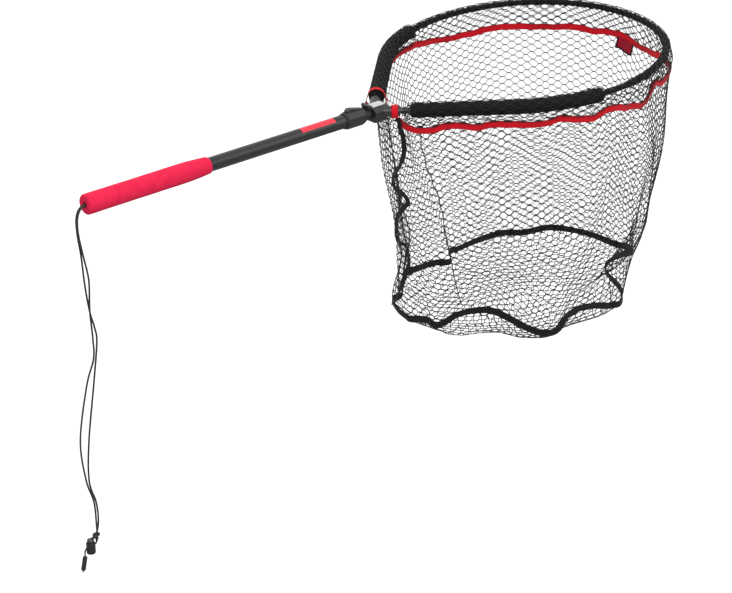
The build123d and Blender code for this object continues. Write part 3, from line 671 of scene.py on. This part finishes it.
def hung_point(t, d):
    """The wall's surface carried on above the mouth tape: d from -1 at the hoop to 0 at the tape."""
    t, d = np.asarray(t, float), np.asarray(d, float)
    above = hoop_point(t) + (tape_point(t) - hoop_point(t)) * (1 + np.minimum(d, 0))[..., None]
    return np.where((d < 0)[..., None], above, wall_point(t, np.maximum(d, 0)))


def wall_track(places, count):
    """A smooth line over the wall through (share, depth) places, as its t and d values."""
    track = smooth_path([(t * RIM_ROUND, d * WALL_DEPTH, 0.0) for t, d in places], count)
    return track[:, 0] / RIM_ROUND, track[:, 1] / WALL_DEPTH


def build_side_tape(black):
    """The loosely sewn black tape down the side seam, from the arm's band to the floor seam."""
    t, d = wall_track(SIDE_WANDER, 520)
    p = hung_point(t, d)
    for _ in range(6):
        p[1:-1] = (p[:-2] + 2 * p[1:-1] + p[2:]) / 4
    out = out3(t)
    p = p + out * (3.0 + 1.0 * np.sin(TAU * 5 * d))[..., None]
    along = unit(np.gradient(p, axis=0))
    twist = 0.3 * np.sin(TAU * 2.6 * d + 1.0)
    across = unit(np.cross(along, out))
    across = unit(across * np.cos(twist)[:, None] + out * np.sin(twist)[:, None])
    normal = unit(np.cross(across, along))
    verts, quads, uv = ribbon(p, across * 4.8, normal, 1.9)
    return add_piece("side_seam_tape", verts, quads, black, uv=uv, stands_for=["side_tape"])


TAG_PLACE = 0.508
TAG_WIDTH = 43.0
TAG_HEIGHT = 22.0


def tag_point(s, h, behind):
    """A point of the hanging tag: s from -0.5 to 0.5 along the tape, h from 0 at the tape down to 1."""
    t = TAG_PLACE + s * TAG_WIDTH / RIM_ROUND
    p = tape_point(t)
    p[..., 2] -= 4.0 + h * TAG_HEIGHT
    curl = 5.0 * h ** 1.5 + 2.2 * np.sin(s * 7) * h
    return p - out3(t) * (behind + curl)[..., None]


def build_tag(red, black):
    """A plain woven tag with a dark border, hanging inside the bag from the mouth tape."""
    columns, rows = 24, 16
    s, h = np.meshgrid(np.linspace(-0.5, 0.5, columns), np.linspace(0, 1, rows), indexing="ij")
    rings = np.concatenate([tag_point(s, h, 3.4), tag_point(s, h, 2.5)[:, ::-1]], 1)
    uv = np.stack([s * TAG_WIDTH, h], -1)
    uv = np.concatenate([uv, uv[:, ::-1]], 1)
    j = np.arange(rows - 1)
    side = np.stack([j + 1, 2 * rows - 2 - j, 2 * rows - 1 - j, j], -1)
    other_side = side[:, ::-1] + (columns - 1) * 2 * rows
    quads = np.concatenate([shell_quads(columns, 2 * rows)[:, ::-1], side, other_side])
    add_piece("woven_tag", rings, quads, red, uv=uv, stands_for=["net_tag"])
    corners = np.array([(-0.5, 0.0), (-0.5, 1.0), (0.5, 1.0), (0.5, 0.0)])
    share = np.arange(49) / 16
    outline = np.stack([np.interp(share, range(4), corners[:, k]) for k in range(2)], 1)
    line = tag_point(outline[:, 0], outline[:, 1], 2.95)
    verts, quads = path_tube(line, 1.8, 8)
    add_piece("tag_border", verts, quads, black)


# ---- hoop furniture
def arm_frame(side, x):
    """A point on one arm's axis with its along, across and up directions."""
    arm_end = arc_point(SHOULDER_X, SHOULDER_Y, SHOULDER_R, ARM_ANGLE)
    line = np.array([arm_end + (p - arm_end[0]) * np.array([1.0, math.tan(ARM_SLOPE)]) for p in (x, x + 1)])
    a, b = to_hoop(line * (1, side))
    along = unit(b - a)
    return a, along, unit(np.cross(HOOP_UP, along)), HOOP_UP


def build_webbing_loop(side, place, outline, half_width, name, red, thread):
    """A sewn webbing loop round one arm, from its outline as (across, up) points, closed smoothly."""
    middle, along, across, up = arm_frame(side, HINGE_X + place)
    points = np.array([(0.0, a, b) for a, b in outline + outline[:1]])
    steps = 120
    ring = smooth_loop(points, steps)
    flat = across * ring[:, 1:2] + up * ring[:, 2:3]
    rim = unit(flat)
    angle = np.arange(steps) * TAU / steps
    centre = middle + flat
    widths = along * half_width + rim * (0.08 * half_width * np.sin(angle * 2 + 0.5))[:, None]
    verts, quads, uv = ribbon(centre, widths, rim, 1.5, closed=True)
    add_piece(
        name, verts, quads, red, uv=uv,
        stands_for=["webbing_loop_left" if side > 0 else "webbing_loop_right"],
    )
    lap = [np.concatenate([values, values[:1]]) for values in (centre, widths, rim)]
    stitches(name + "_stitching", *lap, 0.75, 3.2, thread)


def rings_on_hoop(t, radius, angle):
    """Closed rings of points round the hoop's line, turned from outward towards up."""
    outward = out3(t)[:, None] * (radius * np.cos(angle))[..., None]
    return hoop_point(t)[:, None] + outward + HOOP_UP * (radius * np.sin(angle))[..., None]


def build_float(side, name, node, foam):
    """A foam float pressed into soft cushions by the netting round it."""
    steps, around = 300, 56
    end = T_FLOAT_ENDS[side]
    t = np.linspace(T_FLOAT_START, end, steps)
    if side < 0:
        t = 1 - t
    length = (end - T_FLOAT_START) * RIM_ROUND
    s = np.linspace(0, length, steps)
    from_end = np.minimum(s, length - s)
    ax, ay = across_hoop(t, tape_point(t))
    reach = np.hypot(ax, ay)
    facing = np.arctan2(ay, ax)
    open_angle = np.arccos(FLOAT_R / reach)
    straight = np.sqrt(reach ** 2 - FLOAT_R ** 2)
    sweep = TAU - 2 * open_angle
    total = 2 * straight + FLOAT_R * sweep
    angle = np.arange(around) * TAU / around
    turn = np.mod(angle[None] - (facing + open_angle)[:, None], TAU)
    v = (straight[:, None] + FLOAT_R * turn) / total[:, None] * WRAP_ROWS
    u = t[:, None] * COLUMNS + 0 * v
    cushion = -np.cos(TAU * v) * np.cos(math.pi * u)
    press = np.where(turn > sweep[:, None], 0.2, cushion)
    corner = 3.0
    round_end = np.sqrt(np.clip(1 - ((corner - from_end) / corner).clip(0, 1) ** 2, 0, 1))
    run = s[:, None]
    grain = 0.12 * np.sin(run * 0.21 + 3 * angle) + 0.1 * np.sin(run * 0.047 + angle)
    r = FLOAT_R - 0.7 + 0.55 * press + grain
    r = r - corner * (1 - round_end)[:, None]
    rings = rings_on_hoop(t, r, angle)
    bore = (HOOP_R + 0.1) / 11.0
    centre = hoop_point(t)[:, None]
    caps = [centre[k] + (rings[k] - centre[k]) * bore for k in (0, -1)]
    rings = np.concatenate([caps[:1], rings, caps[1:]])
    piece = add_piece(name, rings, shell_quads(len(rings), around), foam)
    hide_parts(node)


def build_rim_sleeve(black):
    """The braided cover round the hoop between the floats, with low crossing ridges."""
    steps, around = 900, 28
    t = np.linspace(T_FLOAT_ENDS[1] + 0.0005, 1 - T_FLOAT_ENDS[-1] - 0.0005, steps)
    s = ((t - t[0]) * RIM_ROUND)[:, None]
    angle = np.arange(around) * TAU / around
    ridge = np.abs(np.sin(4 * angle + s * 0.34)) ** 0.5 + np.abs(np.sin(4 * angle - s * 0.34)) ** 0.5
    r = SLEEVE_R - 0.75 + 0.28 * ridge + 0.12 * np.sin(s * 0.11) - 0.5 * (1 - covered(t))[:, None]
    rings = rings_on_hoop(t, r, angle)
    add_piece(
        "rim_braid", rings, shell_quads(steps, around), black,
        stands_for=["rim_sleeve"],
    )


def build_rim_lacing(cord_material):
    """A thin cord that winds round the sleeve and binds the netting to it."""
    steps = 2600
    t = np.linspace(T_FLOAT_ENDS[1] + 0.004, 1 - T_FLOAT_ENDS[-1] - 0.04, steps)
    s = (t - t[0]) * RIM_ROUND
    pitch = 13.5
    angle = s / pitch * TAU + 0.6 * np.sin(s * 0.05)
    r = 6.9 + 0.3 * np.sin(s * 0.37)
    path = rings_on_hoop(t, r[:, None], angle[:, None])[:, 0]
    verts, quads = tubes(path[None], unit(path - hoop_point(t))[None], 0.85, 6)
    add_piece("rim_lacing", verts, quads, cord_material)


def build_root_edge(cord_material):
    """The cord along the bag's root, laced up to the head between the two arm loops."""
    path = tape_point(np.linspace(-ROOT_SHARE * 1.2, ROOT_SHARE * 1.2, 120))
    parts = [path_tube(path, 1.5, 8)]
    hook_x = cad("head_cover")[1][0] - 3.0
    for share in (-0.62, -0.2, 0.2, 0.62):
        top = np.array([hook_x, share * 26.0, -15.0])
        low = tape_point(np.array(share * ROOT_SHARE))
        middle = (top + low) / 2 + (0, 0, -4.0)
        turn_back = [low + (1, 1, -2.2), low + (3, 0, 0.4), low + (0, -1, 2.0)]
        parts.append(cord_tube([top + (-4, 0, 1.5), top, middle] + turn_back, 0.9, 6, 40))
    end = tape_point(np.array(-ROOT_SHARE * 0.9))
    loose_end = [end + (-2, 0, 2), end + (-5, -3, -6), end + (-4, -4, -18), end + (-1, -3, -30)]
    parts.append(cord_tube(loose_end, 1.0, 6, 40))
    verts, quads = join(parts)
    add_piece("root_lacing", verts, quads, cord_material)


def build_mesh_seams(cord_material):
    """Thin gathered seams where panels of netting are knitted together, on the wall and on the floor."""
    parts = []
    places = [(0.218, 0.40), (0.222, 0.55), (0.233, 0.80), (0.220, 0.985)]
    t, d = wall_track(places, 160)
    t = t + 0.0012 * np.sin(0.15 * WALL_DEPTH * d)
    path = wall_point(t, d)
    parts.append(tubes(path[None], surface_normals(wall_point, t, d)[None], 1.3, 6))
    for t_edge, run in ((0.221, (-72.0, -108.0)), (0.64, (-90.0, -95.0))):
        edge = seam_point(np.array(t_edge))
        xy = edge[:2] + np.linspace(0.04, 1, 60)[:, None] * np.array(run)
        z = floor_height(xy[:, 0], xy[:, 1])[0]
        path = np.column_stack([xy, z])
        parts.append(path_tube(path, 1.1, 6))
    verts, quads = join(parts)
    return add_piece("panel_seams", verts, quads, cord_material)


# ---- grip and lanyard
def build_grip(foam):
    """The turned foam grip: softly rounded butt with a cord hole and a shallow tapered nose."""
    length = GRIP_HIGH[0] - GRIP_LOW[0]
    taper = 205.0
    nose_r = 15.5
    hole_r = 5.1
    profile = [(5.0, hole_r), (1.2, hole_r), (0.3, hole_r + 0.6), (0.0, hole_r + 1.6)]
    butt_round = 4.2
    for a in np.linspace(0, math.pi / 2, 9):
        profile.append((butt_round * (1 - math.cos(a)), GRIP_R - 0.2 - butt_round * (1 - math.sin(a))))
    for x in np.linspace(12, taper, 70):
        profile.append((x, GRIP_R - 0.15 + 0.06 * math.sin(x * 0.11) + 0.05 * math.sin(x * 0.043 + 1)))
    for s in np.linspace(0.04, 1, 26):
        x = taper + (length - 2.0 - taper) * s
        profile.append((x, GRIP_R - 0.15 - (GRIP_R - nose_r) * s ** 1.6))
    profile += [(length - 0.9, nose_r - 0.25), (length - 0.2, nose_r - 0.8), (length, TUBE_R + 0.2)]
    profile.append((length - 3.0, TUBE_R + 0.1))
    around = 96
    angle = np.arange(around) * TAU / around
    x = np.array([p[0] for p in profile])
    r = np.array([p[1] for p in profile])
    x = x[:, None] + 0 * angle
    wobble = 1 + 0.0035 * np.sin(2 * angle + x * 0.02) + 0.002 * np.sin(5 * angle + x * 0.05)
    r = r[:, None] * wobble
    rings = np.stack([x, r * np.cos(angle), r * np.sin(angle)], -1)
    add_piece(
        "foam_grip", rings, shell_quads(len(x), around), foam, body="handle",
        stands_for=["grip"],
    )


KNOT = np.array([-22.0, 0.0, -652.0])
CORD_R = 1.75
CORD_SIDES = 12
CORD_HOLE_RISE = 14.0  # from the cord lock's bottom


def strand(side, points, name, material):
    """One strand from inside the butt over its hole's edge to the knot."""
    y = 1.8 * side
    head = [(6.0, y * 1.2, 0.0), (1.5, y, -0.2), (-7.0, y, -3.0), (-13.5, y, -10.0), (-17.5, y, -25.0)]
    tail = [(KNOT[0], y * 0.8, KNOT[2] + 2), (KNOT[0] - 0.8, y * 0.5, KNOT[2] - 7)]
    path = smooth_path(head + [(x, y, z) for x, z in points] + tail, 520)
    verts, quads = path_tube(path, CORD_R, CORD_SIDES)
    around = np.arange(CORD_SIDES) / CORD_SIDES
    uv = np.stack([np.repeat(lengths(path), CORD_SIDES), np.tile(around, len(path))], -1)
    piece = add_piece(name, verts, quads, material, body="lanyard", uv=uv)
    piece.parent = None
    del piece["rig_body"]
    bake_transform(piece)
    return piece


def build_lanyard(cord_material):
    """The two hanging strands and the knot that joins them."""
    front = [
        (-17, -51), (-10.5, -91), (-5, -121), (-2.6, -146), (-5, -197), (-2.8, -249), (-4, -290),
        (-22, -338), (-43, -440), (-37, -524), (-24, -575), (-22, -625),
    ]
    back = [
        (-17, -52), (-12.7, -91), (-9, -150), (-3, -200), (4.6, -233), (7.4, -262), (-3, -331), (-23, -450),
        (-28.5, -530), (-17, -580), (-15, -620),
    ]
    a = strand(-1, front, "lanyard_strand_front", cord_material)
    strand(1, back, "lanyard_strand_back", cord_material)
    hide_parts("lanyard_cord", "cord_loop")
    s = np.linspace(0, TAU, 241)[:-1]
    knot = np.stack([
        (np.sin(s) + 2 * np.sin(2 * s)) * 1.55,
        (np.cos(s) - 2 * np.cos(2 * s)) * 1.35,
        -np.sin(3 * s) * 1.9,
    ], -1)
    tilt = np.array([[0.6, 0, 0.8], [0, 1, 0], [-0.8, 0, 0.6]])
    knot = (knot @ tilt) * (2.1, 1.5, 1.0) + KNOT + (-2.5, 0, 3.5)
    outward = unit(knot - knot.mean(0) + 1e-6)
    verts, quads = tubes(knot[None], outward[None], 2.0, CORD_SIDES, closed=True)
    add_piece(
        "lanyard_knot", verts, quads, cord_material, body="lanyard",
        stands_for=["stopper_knot"],
    )
    build_tail(cord_material)


def build_tail(cord_material):
    """The single cord from the knot through the cord lock's cross hole and straight down the end sleeve."""
    low, high = cad("toggle_body")
    centre = (low[0] + high[0]) / 2
    hole = low[2] + CORD_HOLE_RISE
    through = [
        (7.5, 0), (0, 0), (-7.5, 0), (-13, -6), (-13.8, -18), (-16.6, -30), (-19.4, -42), (-20.6, -47),
    ]
    points = [KNOT + (-0.8, 0, -5), KNOT + (-2, 0, -10.5)] + [(centre + x, 0, hole + z) for x, z in through]
    verts, quads = cord_tube(points, 1.5, 10, 160)
    add_piece(
        "lanyard_tail", verts, quads, cord_material, body="lanyard",
        stands_for=["toggle_cord"],
    )


# ---- materials
class Nodes:
    """Short names for building one material's nodes."""

    def __init__(self, name):
        self.material = bpy.data.materials.new(name)
        self.material.use_nodes = True
        self.tree = self.material.node_tree
        self.shader = self.tree.nodes["Principled BSDF"]

    def add(self, kind, **values):
        node = self.tree.nodes.new(kind)
        for key, value in values.items():
            setattr(node, key, value)
        return node

    def link(self, a, b):
        self.tree.links.new(a, b)

    def coordinates(self, scale=(1, 1, 1)):
        source = self.add("ShaderNodeTexCoord")
        mapping = self.add("ShaderNodeMapping")
        mapping.inputs["Scale"].default_value = scale
        self.link(source.outputs["Object"], mapping.inputs["Vector"])
        return mapping.outputs["Vector"]

    def strip(self):
        """The UV map's two directions: along a strip in millimetres, and across it from 0 to 1."""
        split = self.add("ShaderNodeSeparateXYZ")
        self.link(self.add("ShaderNodeTexCoord").outputs["UV"], split.inputs["Vector"])
        return split.outputs["X"], split.outputs["Y"]

    def noise(self, vector, scale, detail=3.0):
        node = self.add("ShaderNodeTexNoise")
        node.inputs["Scale"].default_value = scale
        node.inputs["Detail"].default_value = detail
        node.inputs["Roughness"].default_value = 0.55
        self.link(vector, node.inputs["Vector"])
        return node.outputs["Fac"]

    def mix(self, factor, a, b):
        node = self.add("ShaderNodeMix", data_type="RGBA")
        self.link(factor, node.inputs["Factor"])
        for key, value in (("A", a), ("B", b)):
            socket = [s for s in node.inputs if s.name == key and s.type == "RGBA"][0]
            if isinstance(value, tuple):
                socket.default_value = (*value, 1.0)
            else:
                self.link(value, socket)
        return [s for s in node.outputs if s.type == "RGBA"][0]

    def ramp(self, factor, low, high):
        node = self.add("ShaderNodeMapRange")
        node.inputs["From Min"].default_value = low
        node.inputs["From Max"].default_value = high
        self.link(factor, node.inputs["Value"])
        return node.outputs["Result"]

    def math(self, operation, a, b=0.0):
        node = self.add("ShaderNodeMath", operation=operation)
        for socket, value in zip(node.inputs, (a, b)):
            if isinstance(value, (int, float)):
                socket.default_value = value
            else:
                self.link(value, socket)
        return node.outputs["Value"]

    def bump(self, height, strength, distance):
        node = self.add("ShaderNodeBump")
        node.inputs["Strength"].default_value = strength
        node.inputs["Distance"].default_value = distance
        self.link(height, node.inputs["Height"])
        self.link(node.outputs["Normal"], self.shader.inputs["Normal"])

    def set(self, **values):
        for key, value in values.items():
            socket = self.shader.inputs[key.replace("_", " ")]
            if isinstance(value, (int, float, tuple)):
                socket.default_value = value
            else:
                self.link(value, socket)


def shade(colour, gain, lift=0.0):
    """A colour made darker or lighter."""
    return tuple(c * gain + lift for c in colour)


def foam(name, dark, light, roughness):
    """Closed-cell foam: slightly mottled, with fine pores."""
    n = Nodes(name)
    at = n.coordinates()
    mottle = n.noise(at, 60.0, 4.0)
    pores = n.noise(at, 1400.0, 2.0)
    colour = n.mix(n.ramp(mottle, 0.3, 0.7), dark, light)
    n.set(Base_Color=colour, Roughness=roughness, Specular_IOR_Level=0.12)
    n.bump(pores, 0.35, 0.0004)
    return n.material


def lacquer(name, colour, roughness):
    """Satin lacquer on a drawn tube, with faint drawing lines along it."""
    n = Nodes(name)
    streak = n.noise(n.coordinates((6.0, 500.0, 500.0)), 1.0, 2.0)
    speck = n.noise(n.coordinates(), 2500.0, 1.0)
    n.set(Base_Color=n.mix(n.ramp(speck, 0.45, 0.75), colour, shade(colour, 1.7)), Roughness=roughness)
    n.set(Specular_IOR_Level=0.45)
    n.bump(streak, 0.08, 0.0003)
    return n.material


def moulded(name, colour, roughness, grain=0.25):
    """Moulded plastic with a fine spark-eroded grain."""
    n = Nodes(name)
    at = n.coordinates()
    fine = n.noise(at, 1800.0, 2.0)
    broad = n.noise(at, 90.0, 3.0)
    n.set(Base_Color=n.mix(n.ramp(broad, 0.35, 0.75), colour, shade(colour, 1.6, 0.004)))
    n.set(Roughness=n.math("ADD", n.math("MULTIPLY", broad, 0.15), roughness - 0.07))
    n.bump(fine, grain, 0.0002)
    return n.material


def brushed(name, colour, roughness):
    """Brushed bare metal."""
    n = Nodes(name)
    lines = n.noise(n.coordinates((40.0, 2500.0, 900.0)), 1.0, 2.0)
    n.set(Base_Color=n.mix(n.ramp(lines, 0.3, 0.7), shade(colour, 0.8), colour))
    n.set(Metallic=1.0, Roughness=n.math("ADD", n.math("MULTIPLY", lines, 0.2), roughness - 0.1))
    n.bump(lines, 0.15, 0.0002)
    return n.material


def woven(name, colour, dark, pitch=1.5, edge_dark=True):
    """Webbing: picks across the strip, a chain of warp ribs along it and darker bound edges, with painted
    shade in the weave's low parts.
    """
    n = Nodes(name)
    along, across = n.strip()
    warp = n.math("SINE", n.math("MULTIPLY", across, TAU * 7))
    shift = n.math("MULTIPLY", n.math("SIGN", warp), math.pi / 2)
    pick = n.math("SINE", n.math("ADD", n.math("MULTIPLY", along, TAU / pitch), shift))
    ribs = n.math("MULTIPLY", n.math("ABSOLUTE", warp), 0.6)
    height = n.math("ADD", ribs, n.math("MULTIPLY", pick, 0.35))
    wear = n.noise(n.coordinates(), 130.0, 4.0)
    # The colour mixes random wear with painted shade: darker where the weave's height is low.
    tone = n.math("ADD", n.math("MULTIPLY", height, 0.35), n.math("MULTIPLY", wear, 0.6))
    base = n.mix(n.ramp(tone, 0.05, 0.75), dark, colour)
    if edge_dark:
        edge = n.math("ABSOLUTE", n.math("SUBTRACT", across, 0.5))
        rim = n.ramp(edge, 0.455, 0.485)
        base = n.mix(rim, base, shade(dark, 0.25))
    n.set(Base_Color=base, Roughness=0.72, Sheen_Weight=0.05, Specular_IOR_Level=0.15)
    n.bump(height, 0.5, 0.00035)
    return n.material


def braided(name, colour, light):
    """Braided cord, the strip's second direction going round it, with a painted highlight on the strands'
    crests.
    """
    n = Nodes(name)
    pitch, strands = 3.2, 6
    along, around = n.strip()
    a = n.math("MULTIPLY", along, TAU / pitch)
    b = n.math("MULTIPLY", around, TAU * strands)
    left = n.math("SINE", n.math("ADD", a, b))
    right = n.math("SINE", n.math("SUBTRACT", a, b))
    height = n.math("MAXIMUM", left, right)
    # Painted highlight and shade: the strands' crests take the lighter colour, the hollows the darker.
    n.set(Base_Color=n.mix(n.ramp(height, -0.2, 1.0), colour, light), Roughness=0.6)
    n.bump(height, 0.6, 0.0003)
    return n.material


def yarn(name, colour, light):
    """Coated net twine with a slight shine."""
    n = Nodes(name)
    at = n.coordinates()
    tone = n.ramp(n.noise(at, 220.0, 3.0), 0.35, 0.7)
    n.set(Base_Color=n.mix(tone, colour, light), Roughness=0.6, Specular_IOR_Level=0.2)
    n.bump(n.noise(at, 1600.0, 1.0), 0.3, 0.0002)
    return n.material


def plain_floor():
    """Pale studio floor that throws little light back up at the net."""
    n = Nodes("studio_floor")
    n.set(Base_Color=(0.42, 0.42, 0.42, 1.0), Roughness=0.95, Specular_IOR_Level=0.0)
    seen = n.add("ShaderNodeLightPath").outputs["Is Camera Ray"]
    n.link(n.math("MULTIPLY", seen, 0.62), n.shader.inputs["Emission Strength"])
    n.set(Emission_Color=(1.0, 1.0, 1.0, 1.0))
    return n.material


# ---- build
RED_FOAM = foam("foam_red", (0.56, 0.010, 0.048), (0.63, 0.016, 0.062), 0.8)
BLACK_FOAM = foam("foam_black", (0.0035, 0.0035, 0.0045), (0.007, 0.007, 0.009), 0.7)
TUBE = lacquer("tube_lacquer", (0.008, 0.0085, 0.0095), 0.3)
PLASTIC = moulded("black_moulding", (0.008, 0.0083, 0.009), 0.45)
RUBBER = moulded("black_rubber_ring", (0.006, 0.006, 0.006), 0.7, 0.4)
DARK = moulded("dark_moulding", (0.003, 0.003, 0.0035), 0.6, 0.1)
GLOSS = moulded("gloss_moulding", (0.006, 0.006, 0.007), 0.2, 0.05)
PLATE = brushed("bright_plate_metal", (0.72, 0.72, 0.74), 0.38)
STEEL = brushed("steel_fittings", (0.55, 0.55, 0.56), 0.3)
LABEL = moulded("label_print", (0.62, 0.012, 0.028), 0.4, 0.05)
RED_WEB = woven("webbing_red", (0.60, 0.003, 0.012), (0.34, 0.002, 0.009))
TAG_WEB = woven("tag_red", (0.30, 0.002, 0.018), (0.16, 0.001, 0.01), 0.9, False)
RED_THREAD = yarn("thread_red", (0.20, 0.003, 0.01), (0.30, 0.006, 0.015))
BLACK_WEB = woven("tape_black", (0.009, 0.009, 0.010), (0.004, 0.004, 0.0045))
NET = yarn("net_twine", (0.006, 0.006, 0.0065), (0.014, 0.014, 0.015))
SEAM = yarn("seam_twine", (0.008, 0.008, 0.009), (0.02, 0.02, 0.022))
CORD = braided("cord_braid", (0.005, 0.005, 0.0055), (0.016, 0.016, 0.017))

CAD_LOOKS = {
    "tube_black": TUBE, "grip_foam": RED_FOAM, "black_plastic": PLASTIC, "gloss_black": GLOSS,
    "black_rubber": RUBBER, "steel": STEEL, "bright_plate": PLATE, "red_label": LABEL,
    "red_webbing": RED_WEB, "black_tape": BLACK_WEB, "net_mesh": NET, "float_foam": BLACK_FOAM,
    "black_cord": CORD,
}
for entry in frame["record"]["subparts"]:
    node = frame["nodes"][entry["node"]]
    node.data.materials.clear()
    node.data.materials.append(CAD_LOOKS[entry["material_slot"]])
for name, look in (("hinge_pin_caps", GLOSS), ("toggle_body", DARK), ("end_sleeve", DARK)):
    frame["nodes"][name].data.materials[0] = look

upper = net_wall("net_wall_upper", 0, UPPER_ROWS, NET)
lower = net_wall("net_wall_lower", UPPER_ROWS + 1, ROWS - UPPER_ROWS - 1, NET)
bag_floor = net_floor(NET)
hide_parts("net_bag")
wrap_ends = rim_share(ROOT_X + 1.0)
net_wrap("net_wrap_left", wrap_ends, 0.5 + 0.5 / COLUMNS, NET)
net_wrap("net_wrap_right", 0.5, 1 - wrap_ends, NET)
build_mouth_tape(RED_WEB, RED_THREAD)
bottom = build_bottom_tape(BLACK_WEB)
side = build_side_tape(BLACK_WEB)
build_tag(TAG_WEB, BLACK_WEB)
SNUG = [(12.0 * math.cos(a), 12.2 * math.sin(a) - 1.0) for a in np.linspace(0, TAU, 16, endpoint=False)]
LOOSE = [
    (0, 16.4), (8, 14.4), (13.4, 9.2), (16.0, 2.5), (19.2, -6), (20.4, -11.5), (16.5, -17), (8, -19.6),
    (0, -20), (-8, -19.6), (-16.5, -17), (-20.4, -11.5), (-19.2, -6), (-16.0, 2.5), (-13.4, 9.2),
    (-8, 14.4),
]
build_webbing_loop(-1, 45.4, SNUG, 6.4, "arm_loop_right", RED_WEB, RED_THREAD)
build_webbing_loop(1, 68.5, LOOSE, 5.2, "arm_loop_left", RED_WEB, RED_THREAD)
build_float(1, "foam_float_left", "float_left", BLACK_FOAM)
build_float(-1, "foam_float_right", "float_right", BLACK_FOAM)
build_rim_sleeve(BLACK_WEB)
build_rim_lacing(SEAM)
build_root_edge(SEAM)
seams = build_mesh_seams(SEAM)
build_grip(RED_FOAM)
build_lanyard(CORD)

# Each bag piece gets its own copy of its mesh.
for piece in (upper, lower, bag_floor, bottom, side, seams):
    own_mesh(piece)


# ---- studio
def build_studio():
    """A pale floor and soft lights, shown with plain contrast so that blacks stay black."""
    bpy.context.scene.view_settings.view_transform = "Standard"
    low, reach = -0.735, 30.0
    mesh = bpy.data.meshes.new("studio_floor")
    corners = [(-reach, -reach, low), (reach, -reach, low), (reach, reach, low), (-reach, reach, low)]
    mesh.from_pydata(corners, [], [(0, 1, 2, 3)])
    floor = bpy.data.objects.new("studio_floor", mesh)
    bpy.context.scene.collection.objects.link(floor)
    mesh.materials.append(plain_floor())
    world = bpy.data.worlds.new("studio")
    world.use_nodes = True
    world.node_tree.nodes["Background"].inputs["Color"].default_value = (1, 1, 1, 1)
    world.node_tree.nodes["Background"].inputs["Strength"].default_value = 1.0
    bpy.context.scene.world = world
    target = Vector((0.75, 0.0, -0.15))
    for name, place, power, size in (
        ("key", (-0.9, -2.2, 2.6), 75.0, 1.2),
        ("fill", (2.8, -1.6, 1.4), 18.0, 2.0),
        ("back", (0.8, 2.4, 2.2), 30.0, 1.6),
    ):
        light = bpy.data.lights.new(name, "AREA")
        light.energy = power
        light.size = size
        lamp = bpy.data.objects.new(name, light)
        lamp.location = place
        lamp.rotation_euler = (target - Vector(place)).to_track_quat("-Z", "Y").to_euler()
        bpy.context.scene.collection.objects.link(lamp)


def build_camera():
    """Looks down at the net from beside the grip."""
    azimuth, elevation = math.radians(41.6), math.radians(26.4)
    level = math.cos(elevation)
    forward = Vector((math.sin(azimuth) * level, math.cos(azimuth) * level, -math.sin(elevation)))
    camera = bpy.data.cameras.new("camera")
    camera.sensor_width = 36.0
    camera.lens = 98.36
    camera.clip_end = 100.0
    eye = bpy.data.objects.new("camera", camera)
    eye.location = (-1.6865, -2.6106, 1.3536)
    eye.rotation_euler = forward.to_track_quat("-Z", "Y").to_euler()
    bpy.context.scene.collection.objects.link(eye)
    bpy.context.scene.camera = eye


build_studio()
build_camera()
